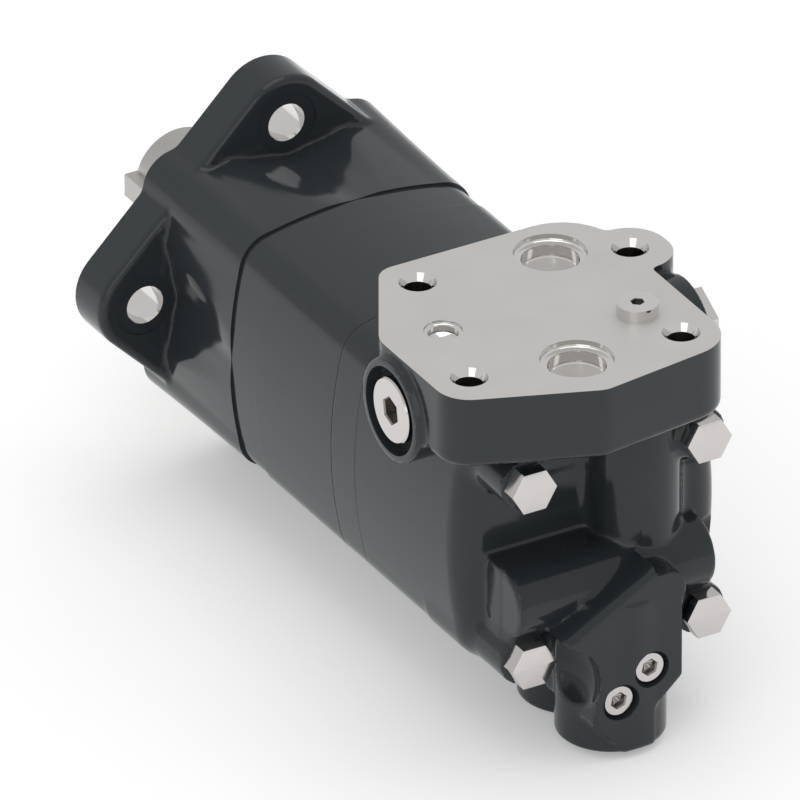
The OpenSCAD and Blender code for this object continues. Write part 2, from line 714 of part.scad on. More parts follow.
// Outline of the flat rear face seen from behind, as [x, z, radius]
rear_face_corners = [
    [-21.8, -25.4, 1], [6.7, -5.4, 1.5], [20.5, -5.4, 6.5], [17, -17.5, 4], [17, -44.5, 3], [6.5, -54.2, 3],
    [6.5, -67.5, 1], [-4.6, -67.5, 1], [-16.8, -54.5, 3], [-14.3, -43, 6], [-14.3, -34, 5], [-17, -29, 3]];

// The rear casting before it is bored
module cover_casting() {
    intersection() {
        rearward(0) linear_extrude(cover_len) body_outline();
        rotate([0, 90, 0]) translate([0, 0, -60]) linear_extrude(120) cover_profile();
        translate([0, 0, -60]) linear_extrude(120) cover_profile();
    }
    for (p = tie_places) translate([p[0] * tie_offset, 0, p[1] * tie_offset])
        rod(-cover_len + 20, tie_seat_depth - cover_len + 20, tie_boss_r);
    translate([0, 0, manifold_z - manifold_t]) linear_extrude(manifold_t) {
        polygon(rounded(flipped(manifold_corners)));
        polygon(rounded(flipped(manifold_lobe)));
    }
    translate([0, 0, body_half - 12]) linear_extrude(manifold_z - manifold_t - body_half + 13)
        polygon(rounded(flipped([[-36, 14, 6], [29, 14, 6], [29, 66, 6], [-36, 66, 6]])));
    across(cross_left_x, -cross_bore_depth, cross_bore_z) cylinder(r = cross_boss_r, h = cross_boss_len);
    translate([neck_x, -neck_depth, lower_boss_z])
        cylinder(r = neck_r, h = manifold_z - manifold_t - lower_boss_z + 1);
    across(lower_boss_left, -lower_boss_depth, lower_boss_z)
        cylinder(r = lower_boss_r, h = lower_boss_right - lower_boss_left);
    translate([lower_boss_left, -lower_boss_depth, lower_boss_z - lower_boss_r + 0.15])
        cube([neck_x - lower_boss_left, lower_boss_depth - cover_len + 15, 2 * lower_boss_r - 0.3]);
    difference() {
        union() {
            rearward(-rear_boss_depth + 6) linear_extrude(rear_pad_out + 6) polygon(rounded(rear_face_corners, 5));
            translate([rear_boss_x, -rear_boss_depth, bottom_z])
                cylinder(r = bottom_boss_r, h = lower_boss_z - bottom_z);
        }
        translate([boss_scoop_place[0], -boss_scoop_place[1], boss_scoop_place[2]]) sphere(r = boss_scoop_r);
    }
    translate([front_boss_x, -front_boss_depth, bottom_z]) cylinder(r = bottom_boss_r, h = -bottom_z - body_half + 12);
}

// Side view of the square part: a long rectangle whose two rear corners are round
module cover_profile() {
    w = body_half + 1;
    polygon(rounded([[-w, 1, 0.5], [-w, -cover_len, cover_round + 1], [w, -cover_len, cover_round + 1], [w, 1, 0.5]], 10));
}

// What is bored and drilled into it
module cover_bores() {
    rod(1, cavity_depth + 1, cavity_r);
    rod(1, hub_bore_depth + 1, hub_bore_r);
    for (k = [0:balance_spring_n - 1]) rotate([0, 360 * k / balance_spring_n + 90, 0])
        translate([balance_spring_circle, 0, 0])
            rod(-hub_bore_depth + 1, balance_spring_sink + 1, balance_spring_r + 0.8);
    tie_holes(1, tie_seat_depth + 10, tie_r + tie_gap);
    for (p = port_places) translate([p[0], -p[1], 0]) {
        translate([0, 0, manifold_z - port_seat_depth]) cylinder(r = port_seat_r, h = 10);
        translate([0, 0, manifold_z - 16]) cylinder(r = port_r, h = 20);
    }
    translate([port_places[0][0], -port_places[0][1], 20]) cylinder(r = 6, h = manifold_z - 30);
    for (p = thread_places) translate([p[0], -p[1], 0]) {
        translate([0, 0, manifold_z - manifold_thread_depth]) cylinder(r = manifold_thread_r, h = 30);
        translate([0, 0, manifold_z - 1.8]) cylinder(r1 = manifold_thread_r, r2 = manifold_thread_r + 2, h = 2);
    }
    translate([service_place[0], -service_place[1], 0]) {
        translate([0, 0, manifold_z - 1.5]) cylinder(r = service_r + 2.1, h = 10);
        translate([0, 0, manifold_z - 13]) cylinder(r = service_r, h = 20);
    }
    cross_bores();
    neck_bores();
    translate([rear_boss_x, -rear_boss_depth, bottom_z]) relief_bores(lower_boss_z - bottom_z);
    translate([front_boss_x, -front_boss_depth, bottom_z]) relief_bores(lower_boss_z - bottom_z);
    translate([front_boss_x, 0, lower_boss_z]) rod(-hub_bore_depth + 1, front_boss_depth - hub_bore_depth + 1, relief_hole_r);
    for (p = rear_plug_places) translate([p[0], 0, p[1]]) {
        rod(-rear_face_depth + rear_plug_sink + rear_plug_len, rear_plug_len + 3, rear_plug_r - 1 + slip_gap);
        rod(-rear_face_depth + rear_plug_sink + rear_plug_head, rear_plug_head + 3, rear_plug_r + 0.9);
    }
    translate([neck_x, -neck_depth, manifold_z - top_plug_sink]) cylinder(r = top_plug_r + 0.25, h = 2);
}

// Cross bore for the spool, with a counterbore on the left and seats for the seals
module cross_bores() {
    across(cross_left_x - 1, -cross_bore_depth, cross_bore_z) {
        cylinder(r = spool_r + running_gap, h = cross_boss_len + 2);
        cylinder(r = plug_thread_r + slip_gap, h = 1 + left_counterbore_depth + plug_thread_len);
        cylinder(r = left_counterbore_r, h = 1 + left_counterbore_depth);
        cylinder(r = plug_seal_r, h = 1 + left_counterbore_depth + plug_seal_t);
    }
    across(right_plug_in, -cross_bore_depth, cross_bore_z) {
        cylinder(r = plug_thread_r + slip_gap, h = plug_thread_len + 1);
        translate([0, 0, plug_thread_len - plug_seal_t]) cylinder(r = plug_seal_r, h = plug_seal_t + 1);
        translate([0, 0, plug_thread_len]) cylinder(r = right_head_af / sqrt(3) + 0.6, h = right_head_h + 2);
    }
}

// Drillings in the neck and the lower cross boss
module neck_bores() {
    port = port_places[1];
    run = [neck_x - port[0], port[1] - neck_depth];
    translate([neck_x, -neck_depth, lower_boss_z]) cylinder(r = neck_drill_r, h = manifold_z - lower_boss_z + 1);
    translate([port[0], -port[1], manifold_z - 15]) rotate([0, 90, atan2(run[1], run[0])])
        translate([5, 0, 0]) cylinder(r = 4, h = norm(run));
    across(-25, -lower_boss_depth, lower_boss_z) cylinder(r = 5, h = 25 + lower_boss_right + 1);
    across(lower_boss_right - boss_plug_len, -lower_boss_depth, lower_boss_z)
        cylinder(r = boss_plug_r + slip_gap, h = boss_plug_len + 1);
}

// Bores of one relief valve, upwards from the lower end of its boss
module relief_bores(passage_up) {
    translate([0, 0, -1]) cylinder(r = relief_head_r + 0.2, h = relief_seat_up + 1);
    cylinder(r = relief_thread_r + slip_gap, h = relief_thread_up);
    cylinder(r = relief_bore_r, h = relief_top_up);
    cylinder(r = relief_hole_r, h = passage_up);
}

module valve_housing() {
    color(paint) translate([0, cover_y, 0]) difference() {
        cover_casting();
        cover_bores();
    }
}

module hexagon(af, h) { cylinder(r = af / sqrt(3), h = h, $fn = 6); }

// Four hexagon-head bolts through the whole stack
module tie_bolts() {
    seat_y = cover_y - tie_seat_depth;
    len = wear_y + tie_grip - seat_y;
    color(bright) for (p = tie_places) translate([p[0] * tie_offset, 0, p[1] * tie_offset]) {
        rod(wear_y + tie_grip, len + 1, tie_r);
        rearward(seat_y) hexagon(tie_head_af, tie_head_h);
    }
}

module at_cross_bore(x) { across(x, cover_y - cross_bore_depth, cross_bore_z) children(); }

module left_port_plug() {
    color(bright) at_cross_bore(cross_left_x) difference() {
        union() {
            translate([0, 0, left_head_below])
                cylinder(r = left_head_r, h = left_counterbore_depth - left_head_below);
            translate([0, 0, left_counterbore_depth - 1]) cylinder(r = plug_thread_r, h = plug_thread_len + 1);
        }
        translate([0, 0, -1]) hexagon(socket_af, 7);
    }
}

module left_plug_seal() {
    color(rubber) at_cross_bore(cross_left_x + left_counterbore_depth) difference() {
        cylinder(r = plug_seal_r, h = plug_seal_t);
        translate([0, 0, -1]) cylinder(r = plug_thread_r, h = plug_seal_t + 2);
    }
}

module right_port_plug() {
    color(bright) at_cross_bore(right_plug_in) {
        cylinder(r = plug_thread_r, h = plug_thread_len + 1);
        translate([0, 0, plug_thread_len]) rotate([0, 0, 90]) hexagon(right_head_af, right_head_h);
    }
}

module right_plug_seal() {
    color(rubber) at_cross_bore(cross_right_x - plug_seal_t) difference() {
        cylinder(r = plug_seal_r, h = plug_seal_t);
        translate([0, 0, -1]) cylinder(r = plug_thread_r, h = plug_seal_t + 2);
    }
}

// Shuttle spool: three lands, two necks, and a spring at each end
module shuttle_spool() {
    neck = 9;
    neck_r_in = spool_r - 2.5;
    color(steel) at_cross_bore(spool_mid - spool_len / 2) difference() {
        cylinder(r = spool_r, h = spool_len);
        for (z = [spool_len / 3 - neck / 2, spool_len * 2 / 3 - neck / 2]) translate([0, 0, z]) difference() {
            cylinder(r = spool_r + 1, h = neck);
            translate([0, 0, -1]) cylinder(r = neck_r_in, h = neck + 2);
        }
    }
}

module shuttle_springs() {
    gap = 0.05;
    len = right_plug_in - spool_mid - spool_len / 2 - 2 * gap;
    color(spring_steel) {
        at_cross_bore(left_plug_in + gap) coil(shuttle_spring_r, shuttle_wire_r, len, 7);
        at_cross_bore(right_plug_in - gap - len) coil(shuttle_spring_r, shuttle_wire_r, len, 7);
    }
}

module top_plug() {
    color(bright) translate([neck_x, cover_y - neck_depth, manifold_z - top_plug_sink]) difference() {
        union() {
            translate([0, 0, -top_plug_len]) cylinder(r = neck_drill_r - slip_gap, h = top_plug_len + 1);
            cylinder(r = top_plug_r, h = top_plug_h + top_plug_sink);
        }
        translate([0, 0, top_plug_h - 3]) hexagon(top_socket_af, 4);
    }
}

module rear_plugs() {
    face_y = cover_y - rear_face_depth + rear_plug_sink;
    color(bright) for (p = rear_plug_places) translate([p[0], 0, p[1]]) difference() {
        union() {
            rod(face_y + rear_plug_head, rear_plug_head, rear_plug_r);
            rod(face_y + rear_plug_len, rear_plug_len - 1, rear_plug_r - 1);
        }
        rearward(face_y + rear_socket_depth) hexagon(rear_socket_af, 4);
    }
}

module boss_plug() {
    color(bright) across(lower_boss_right - boss_plug_len, cover_y - lower_boss_depth, lower_boss_z) difference() {
        cylinder(r = boss_plug_r, h = boss_plug_len - 0.5);
        translate([0, 0, boss_plug_len - 5]) hexagon(socket_af, 6);
    }
}

// Relief valves in the bottom bosses: plug, spring and poppet
module at_relief(rear) {
    x = rear ? rear_boss_x : front_boss_x;
    depth = rear ? rear_boss_depth : front_boss_depth;
    translate([x, cover_y - depth, bottom_z]) children();
}

module relief_plugs() {
    color(bright) for (rear = [false, true]) at_relief(rear) difference() {
        union() {
            translate([0, 0, relief_recess]) cylinder(r = relief_head_r, h = relief_seat_up - relief_recess);
            translate([0, 0, relief_seat_up - 1]) cylinder(r = relief_thread_r, h = relief_thread_up - relief_seat_up + 1);
        }
        hexagon(socket_af, 6);
    }
}

poppet_up = relief_top_up - relief_lift_gap - poppet_nose - poppet_len;

module relief_poppet(rear) {
    color(steel) at_relief(rear) translate([0, 0, poppet_up]) {
        cylinder(r = relief_bore_r - 0.1, h = poppet_len);
        translate([0, 0, poppet_len])
            cylinder(r1 = relief_bore_r - 0.1, r2 = relief_hole_r - 0.3, h = poppet_nose);
    }
}

module relief_spring(rear) {
    color(spring_steel) at_relief(rear) translate([0, 0, relief_thread_up + 0.05])
        coil(relief_bore_r - 1.5, relief_wire_r, poppet_up - relief_thread_up - 0.1, 5);
}

front_housing();
dust_seal();
shaft_seal();
seal_washer();
front_bearing_cup();
front_bearing_cone();
front_bearing_rollers();
front_bearing_cage();
rear_bearing_cup();
rear_bearing_cone();
rear_bearing_rollers();
rear_bearing_cage();
output_shaft();
shaft_key();
main_drive();
drive_spacer();
housing_face_seal();
spacer_plate();
ring_front_seal();
geroler_ring();
geroler_star();
roller(0);  // roller_1
roller(1);  // roller_2
roller(2);  // roller_3
roller(3);  // roller_4
roller(4);  // roller_5
roller(5);  // roller_6
roller(6);  // roller_7
ring_rear_seal();
valve_plate();
cover_face_seal();
valve_drive();
disc_valve();
balance_ring();
balance_springs();
balance_outer_seal();
balance_inner_seal();
valve_housing();
tie_bolts();
left_port_plug();
left_plug_seal();
right_port_plug();
right_plug_seal();
shuttle_spool();
shuttle_springs();
top_plug();
rear_plugs();
boss_plug();
relief_plugs();
relief_poppet(false);  // relief_poppet_front
relief_poppet(true);  // relief_poppet_rear
relief_spring(false);  // relief_spring_front
relief_spring(true);  // relief_spring_rear
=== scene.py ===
import json
import math

import bmesh
import bpy
import numpy as np
from mathutils import Matrix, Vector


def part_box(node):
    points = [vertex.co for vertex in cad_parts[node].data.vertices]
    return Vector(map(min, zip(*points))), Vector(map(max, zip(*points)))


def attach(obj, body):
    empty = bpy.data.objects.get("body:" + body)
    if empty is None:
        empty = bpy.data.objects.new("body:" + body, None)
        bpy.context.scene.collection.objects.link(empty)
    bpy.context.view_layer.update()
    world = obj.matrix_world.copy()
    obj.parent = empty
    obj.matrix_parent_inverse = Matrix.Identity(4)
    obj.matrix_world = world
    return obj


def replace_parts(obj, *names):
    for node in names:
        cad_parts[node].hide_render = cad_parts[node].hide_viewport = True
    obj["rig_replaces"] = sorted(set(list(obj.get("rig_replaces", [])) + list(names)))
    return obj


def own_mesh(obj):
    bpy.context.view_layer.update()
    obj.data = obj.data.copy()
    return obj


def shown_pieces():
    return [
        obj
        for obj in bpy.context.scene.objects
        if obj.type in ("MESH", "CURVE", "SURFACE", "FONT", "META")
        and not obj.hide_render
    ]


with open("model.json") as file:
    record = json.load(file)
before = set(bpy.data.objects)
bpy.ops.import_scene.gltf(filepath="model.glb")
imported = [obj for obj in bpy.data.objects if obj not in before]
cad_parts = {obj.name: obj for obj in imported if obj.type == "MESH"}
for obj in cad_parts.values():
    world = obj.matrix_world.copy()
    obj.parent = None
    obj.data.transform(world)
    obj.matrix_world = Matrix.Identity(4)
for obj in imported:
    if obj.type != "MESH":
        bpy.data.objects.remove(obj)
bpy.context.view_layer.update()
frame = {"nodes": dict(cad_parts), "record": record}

mm = 0.001
print("frame loaded:", len(frame["nodes"]), "nodes")


def nodeSpan(name):  # lowest and highest corner of a node, in millimetres
    low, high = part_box(name)
    return np.array(low) / mm, np.array(high) / mm


wearY = nodeSpan("spacer_plate")[1][1]
ringY = nodeSpan("geroler_ring")[1][1]
valvePlateY = nodeSpan("valve_plate")[1][1]
coverY = nodeSpan("valve_plate")[0][1]
topPlugRise = 4.35  # of the plug above the manifold face
manifoldZ = nodeSpan("top_plug")[1][2] - topPlugRise

# camera: a very long lens seen from behind, half right and half down, as in the photograph
photoView = {"lens": 1700.0, "sensor": 36.0, "pixelsPerMm": 3.08, "imagePixels": 800, "clipEnd": 100.0,
             "aim": (-5.55, -100.0, -7.75), "back": (-0.433, -0.75, 0.5)}


def aimedMatrix(place, back):  # the local z axis lies along back, the local x axis is level
    right = np.cross((0.0, 0.0, 1.0), back)
    right /= np.linalg.norm(right)
    turned = np.eye(4)
    turned[:3] = np.stack([right, np.cross(back, right), back, place], 1)
    return Matrix(turned.tolist())


def placeCamera(values):
    data = bpy.data.cameras.new("photoCamera")
    camera = bpy.data.objects.new("photoCamera", data)
    bpy.context.scene.collection.objects.link(camera)
    data.lens = values["lens"]
    data.sensor_width = values["sensor"]
    data.clip_end = values["clipEnd"]
    across = values["imagePixels"] / values["pixelsPerMm"] * mm
    back = np.array(values["back"]) / np.linalg.norm(values["back"])
    place = np.array(values["aim"]) * mm + back * across * values["lens"] / values["sensor"]
    camera.matrix_world = aimedMatrix(place, back)
    bpy.context.scene.camera = camera


placeCamera(photoView)

# shader groups: patterns that several materials share, scaled in waves per metre
patterns = {"ripple": 260.0, "grain": 1500.0, "grainDetail": 3.0, "grainShare": 0.3, "castTint": 38.0,
            "across": 2600.0, "along": 30.0, "toolTint": 60.0}


def newGroup(name, inputs):  # inputs are (name, socket type, default); each group gives a height and a tint
    tree = bpy.data.node_groups.new(name, "ShaderNodeTree")
    for socketName, kind, default in inputs:
        socket = tree.interface.new_socket(socketName, in_out="INPUT", socket_type=kind)
        if default is not None:
            socket.default_value = default
    for socketName in ("Height", "Tint"):
        tree.interface.new_socket(socketName, in_out="OUTPUT", socket_type="NodeSocketFloat")
    return tree, tree.nodes.new("NodeGroupInput"), tree.nodes.new("NodeGroupOutput")


def noiseValue(tree, place, scale, detail=2.0):  # scale is a number or a socket
    noise = tree.nodes.new("ShaderNodeTexNoise")
    noise.inputs["Detail"].default_value = detail
    tree.links.new(place, noise.inputs["Vector"])
    if isinstance(scale, float):
        noise.inputs["Scale"].default_value = scale
    else:
        tree.links.new(scale, noise.inputs["Scale"])
    return noise.outputs["Fac"]


def castGrainGroup(values):  # a soft ripple plus a fine grain, and a slow tint
    tree, inside, outside = newGroup("castGrain", [("Place", "NodeSocketVector", None),
                                                   ("Ripple", "NodeSocketFloat", values["ripple"]),
                                                   ("Grain", "NodeSocketFloat", values["grain"])])
    place = inside.outputs["Place"]
    weigh = tree.nodes.new("ShaderNodeMath")
    weigh.operation = "MULTIPLY"
    weigh.inputs[1].default_value = values["grainShare"]
    add = tree.nodes.new("ShaderNodeMath")
    tree.links.new(noiseValue(tree, place, inside.outputs["Grain"], values["grainDetail"]), weigh.inputs[0])
    tree.links.new(noiseValue(tree, place, inside.outputs["Ripple"]), add.inputs[0])
    tree.links.new(weigh.outputs[0], add.inputs[1])
    tree.links.new(add.outputs[0], outside.inputs["Height"])
    tree.links.new(noiseValue(tree, place, values["castTint"]), outside.inputs["Tint"])
    return tree


def toolMarksGroup(values):  # noise drawn out along x, as a cutter leaves it, and a slow tint
    tree, inside, outside = newGroup("toolMarks", [("Place", "NodeSocketVector", None),
                                                   ("Across", "NodeSocketFloat", values["across"]),
                                                   ("Along", "NodeSocketFloat", values["along"])])
    join = tree.nodes.new("ShaderNodeCombineXYZ")
    for source, side in (("Along", "X"), ("Across", "Y"), ("Across", "Z")):
        tree.links.new(inside.outputs[source], join.inputs[side])
    scaled = tree.nodes.new("ShaderNodeVectorMath")
    scaled.operation = "MULTIPLY"
    tree.links.new(inside.outputs["Place"], scaled.inputs[0])
    tree.links.new(join.outputs[0], scaled.inputs[1])
    tree.links.new(noiseValue(tree, scaled.outputs[0], 1.0), outside.inputs["Height"])
    tree.links.new(noiseValue(tree, inside.outputs["Place"], values["toolTint"]), outside.inputs["Tint"])
    return tree


castGrain = castGrainGroup(patterns)
toolMarks = toolMarksGroup(patterns)
print("shader groups made")

# materials: two close colours mixed by the group's tint, roughness between two values, and a bump
finishes = {
    "castPaint": {"group": castGrain, "low": (0.0225, 0.0275, 0.0305), "high": (0.028, 0.0335, 0.037),
                  "rough": (0.10, 0.15), "bump": 0.05, "depth": 0.00005, "metallic": 0.0, "specular": 0.34},
    "machinedFace": {"group": toolMarks, "low": (0.575, 0.56, 0.545), "high": (0.62, 0.605, 0.59),
                     "rough": (0.42, 0.52), "bump": 0.12, "depth": 0.00002, "metallic": 0.6},
    # darker brown metal for plug sockets: painted shade of the hexagon recess
    "socketMetal": {"group": castGrain, "low": (0.20, 0.185, 0.165), "high": (0.30, 0.28, 0.25),
                    "rough": (0.12, 0.2), "bump": 0.1, "depth": 0.00005, "metallic": 0.8},
    "boreMetal": {"group": toolMarks, "low": (0.68, 0.665, 0.65), "high": (0.78, 0.765, 0.75),
                  "rough": (0.07, 0.12), "bump": 0.08, "depth": 0.00002, "metallic": 1.0},
    # darker brown metal for the tapped bores: painted shade of the deep narrow holes
    "threadMetal": {"group": toolMarks, "low": (0.22, 0.19, 0.165), "high": (0.34, 0.30, 0.27),
                    "rough": (0.25, 0.38), "bump": 0.3, "depth": 0.0001, "metallic": 1.0},
    "nickelPlate": {"group": castGrain, "low": (0.575, 0.55, 0.54), "high": (0.62, 0.595, 0.585),
                    "rough": (0.10, 0.16), "bump": 0.03, "depth": 0.00002, "metallic": 1.0},
    "groundSteel": {"group": toolMarks, "low": (0.45, 0.44, 0.42), "high": (0.52, 0.51, 0.49),
                    "rough": (0.26, 0.36), "bump": 0.10, "depth": 0.00002, "metallic": 0.9},
    "gearSteel": {"group": castGrain, "low": (0.36, 0.36, 0.36), "high": (0.44, 0.44, 0.44),
                  "rough": (0.24, 0.34), "bump": 0.05, "depth": 0.00003, "metallic": 1.0},
    "sheetSteel": {"group": castGrain, "low": (0.22, 0.22, 0.23), "high": (0.28, 0.28, 0.29),
                   "rough": (0.34, 0.44), "bump": 0.08, "depth": 0.00004, "metallic": 1.0},
    "springWire": {"group": castGrain, "low": (0.25, 0.25, 0.26), "high": (0.33, 0.33, 0.34),
                   "rough": (0.28, 0.38), "bump": 0.06, "depth": 0.00003, "metallic": 1.0},
    "sealRubber": {"group": castGrain, "low": (0.012, 0.012, 0.012), "high": (0.022, 0.022, 0.022),
                   "rough": (0.5, 0.62), "bump": 0.15, "depth": 0.00005, "metallic": 0.0},
}


tintSpan = (0.3, 0.7)  # the part of the tint's range that noise mostly fills
plainSpecular = 0.5


def colourSocket(sockets, name):  # a mix node has a socket of each name for every type of value
    return next(socket for socket in sockets if socket.name == name and socket.type == "RGBA")


def makeMaterial(name, values):
    material = bpy.data.materials.new(name)
    material.use_nodes = True
    tree = material.node_tree
    shader = tree.nodes["Principled BSDF"]
    shader.inputs["Metallic"].default_value = values["metallic"]
    shader.inputs["Specular IOR Level"].default_value = values.get("specular", plainSpecular)
    place = tree.nodes.new("ShaderNodeTexCoord")
    pattern = tree.nodes.new("ShaderNodeGroup")
    pattern.node_tree = values["group"]
    tree.links.new(place.outputs["Object"], pattern.inputs["Place"])
    mix = tree.nodes.new("ShaderNodeMix")
    mix.data_type = "RGBA"
    colourSocket(mix.inputs, "A").default_value = (*values["low"], 1.0)
    colourSocket(mix.inputs, "B").default_value = (*values["high"], 1.0)
    tree.links.new(pattern.outputs["Tint"], mix.inputs["Factor"])
    tree.links.new(colourSocket(mix.outputs, "Result"), shader.inputs["Base Color"])
    rough = tree.nodes.new("ShaderNodeMapRange")
    rough.inputs["From Min"].default_value, rough.inputs["From Max"].default_value = tintSpan
    rough.inputs["To Min"].default_value, rough.inputs["To Max"].default_value = values["rough"]
    tree.links.new(pattern.outputs["Tint"], rough.inputs["Value"])
    tree.links.new(rough.outputs["Result"], shader.inputs["Roughness"])
    bump = tree.nodes.new("ShaderNodeBump")
    bump.inputs["Strength"].default_value = values["bump"]
    bump.inputs["Distance"].default_value = values["depth"]
    tree.links.new(pattern.outputs["Height"], bump.inputs["Height"])
    tree.links.new(bump.outputs["Normal"], shader.inputs["Normal"])
    return material


materials = {name: makeMaterial(name, values) for name, values in finishes.items()}
print("materials made:", len(materials))

# mesh helpers: lengths in metres here, angles in degrees
meshLimits = {"merge": 1e-6, "degenerate": 1e-7, "sharp": 32.0, "sharpCad": 28.0}


def smoothByAngle(mesh, angle):
    mesh.polygons.foreach_set("use_smooth", np.ones(len(mesh.polygons), bool))
    mesh.set_sharp_from_angle(angle=math.radians(angle))
    mesh.update()


def arrayMesh(name, points, quads, materialNames, merge=True):
    mesh = bpy.data.meshes.new(name)
    mesh.from_pydata((np.asarray(points, float) * mm).tolist(), [], np.asarray(quads).tolist())
    for key in materialNames:
        mesh.materials.append(materials[key])
    if merge:
        work = bmesh.new()
        work.from_mesh(mesh)
        bmesh.ops.remove_doubles(work, verts=work.verts, dist=meshLimits["merge"])
        bmesh.ops.dissolve_degenerate(work, edges=work.edges, dist=meshLimits["degenerate"])
        bmesh.ops.recalc_face_normals(work, faces=work.faces)
        work.to_mesh(mesh)
        work.free()
    smoothByAngle(mesh, meshLimits["sharp"])
    return mesh


def looseObject(name, data):
    made = bpy.data.objects.new(name, data)
    bpy.context.scene.collection.objects.link(made)
    return made


def addPiece(name, mesh, body, nodes):
    piece = looseObject(name, mesh)
    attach(piece, body)
    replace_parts(piece, *nodes)
    return piece


def carve(piece, tools, operation="DIFFERENCE"):  # uses each mesh in turn; new faces get its material
    for mesh in tools:
        tool = looseObject("tool", mesh)
        change = piece.modifiers.new("change", "BOOLEAN")
        change.operation = operation
        change.solver = "EXACT"
        change.material_mode = "TRANSFER"
        change.object = tool
        bpy.context.view_layer.update()
        ready = piece.evaluated_get(bpy.context.evaluated_depsgraph_get())
        result = bpy.data.meshes.new_from_object(ready)
        piece.modifiers.clear()
        piece.data = result
        bpy.data.objects.remove(tool)


def castingPiece(piece, node):  # a carved casting becomes a piece in its own right
    name, mesh = piece.name, piece.data
    bpy.data.objects.remove(piece)
    smoothByAngle(mesh, meshLimits["sharp"])
    mesh.name = name
    addPiece(name, mesh, "housing", [node])
    print(name + ":", len(mesh.polygons), "faces")


# A turned part: each row is (distance along, size) or (distance along, size, "hex"). A round row has
# the radius size at every angle; a hex row has half its size, which is the width across flats, divided
# by the cosine of the angle from the nearest flat's middle.
def turnedGrid(rows, steps, turn):
    angle = np.linspace(0.0, 2.0 * math.pi, steps, endpoint=False)
    flat = (angle + math.radians(turn) + math.pi / 6) % (math.pi / 3) - math.pi / 6
    hexReach = 0.5 / np.cos(flat)
    along = np.array([row[0] for row in rows], float)
    size = np.array([row[1] for row in rows], float)
    isHex = np.array([len(row) > 2 for row in rows])
    reach = np.where(isHex[:, None], size[:, None] * hexReach[None], size[:, None])
    return reach * np.cos(angle), reach * np.sin(angle), np.repeat(along[:, None], steps, 1)


def turnedPart(rows, centre, axis, steps=144, turn=30.0):
    u, v, w = turnedGrid(rows, steps, turn)
    spots = {"x": (w, u, v), "-x": (-w, u, v), "y": (u, w, v), "-y": (u, -w, v),
             "z": (u, v, w), "-z": (u, v, -w)}
    points = np.stack(spots[axis], -1).reshape(-1, 3) + np.array(centre, float)
    count = len(rows)
    i, j = np.meshgrid(np.arange(count - 1), np.arange(steps), indexing="ij")
    k = (j + 1) % steps
    quads = np.stack([i * steps + j, i * steps + k, (i + 1) * steps + k, (i + 1) * steps + j], -1)
    return points, quads.reshape(-1, 4)


def steppedRows(start, steps):  # a round bore in steps, each with its radius and where it ends
    rows = [(start, 0)]
    for radius, end in steps:
        rows += [(start, radius), (end, radius)]
        start = end
    return rows + [(start, 0)]


def joined(parts):  # several (points, quads) as one
    points, quads, start = [], [], 0
    for p, q in parts:
        points.append(p)
        quads.append(q + start)
        start += len(p)
    return np.concatenate(points), np.concatenate(quads)


def boxPart(low, high):  # the six sides of a box between two corners
    x, y, z = [(a, b) for a, b in zip(low, high)]
    corners = np.array([(x[i], y[j], z[k]) for i in (0, 1) for j in (0, 1) for k in (0, 1)], float)
    quads = np.array([(0, 1, 3, 2), (4, 6, 7, 5), (0, 4, 5, 1), (2, 3, 7, 6), (0, 2, 6, 4), (1, 5, 7, 3)])
    return corners, quads


# Solid castings are fields: the distance to the surface, below zero inside. roundMin joins two
# fields with a fillet: the smaller one, less k h (1 - h), where h runs from 0 to 1 across the fillet.
def roundMin(a, b, k):
    h = np.clip(0.5 + 0.5 * (b - a) / k, 0.0, 1.0)
    return b + (a - b) * h - k * h * (1.0 - h)


def roundMax(a, b, k):
    return -roundMin(-a, -b, k)


# An outline carried from low to high: side and end are the distances to its wall and to its nearer
# end, both moved in by edge; outside them the two add as a right triangle's sides, less edge.
def prism(flat, along, low, high, edge):
    side = flat + edge
    end = np.abs(along - (low + high) / 2) - (high - low) / 2 + edge
    outside = np.hypot(np.maximum(side, 0.0), np.maximum(end, 0.0))
    return np.minimum(np.maximum(side, end), 0.0) + outside - edge


def polygonField(corners, x, y):  # distance to the nearest side, below zero where a ray crosses an odd number
    best = np.full(np.broadcast(x, y).shape, 1e9)
    inside = np.zeros(best.shape, bool)
    for (ax, ay), (bx, by) in zip(corners, np.roll(corners, -1, 0)):
        ex, ey = bx - ax, by - ay
        t = np.clip(((x - ax) * ex + (y - ay) * ey) / (ex * ex + ey * ey), 0.0, 1.0)
        best = np.minimum(best, np.hypot(x - ax - t * ex, y - ay - t * ey))
        crosses = (ay > y) != (by > y)
        inside ^= crosses & (x < (bx - ax) * (y - ay) / (by - ay if by != ay else 1e-9) + ax)
    return np.where(inside, -best, best)


def roundedPolygon(corners, steps=8):  # corners are (x, y, radius); each becomes an arc
    corners = np.array(corners, float)
    made = []
    for i, (x, y, r) in enumerate(corners):
        here = np.array((x, y))
        back = corners[i - 1][:2] - here
        ahead = corners[(i + 1) % len(corners)][:2] - here
        back, ahead = back / np.linalg.norm(back), ahead / np.linalg.norm(ahead)
        half = math.acos(np.clip(back @ ahead, -1, 1)) / 2
        middle = here + (back + ahead) / np.linalg.norm(back + ahead) * r / math.sin(half)
        start, end = here + back * r / math.tan(half) - middle, here + ahead * r / math.tan(half) - middle
        a0 = math.atan2(start[1], start[0])
        swing = (math.atan2(end[1], end[0]) - a0 + 3 * math.pi) % (2 * math.pi) - math.pi
        angles = a0 + swing * np.linspace(0, 1, steps + 1)
        made.append(middle + r * np.stack([np.cos(angles), np.sin(angles)], -1))
    return np.concatenate(made)


# The zero surface of a field: one point in each grid cell that the surface crosses, moved onto
# it along the slope, and one quad for each grid edge that it crosses.
fieldSteps = {"tries": 4, "probe": 0.05, "leastSlope": 0.2, "roam": 0.75}


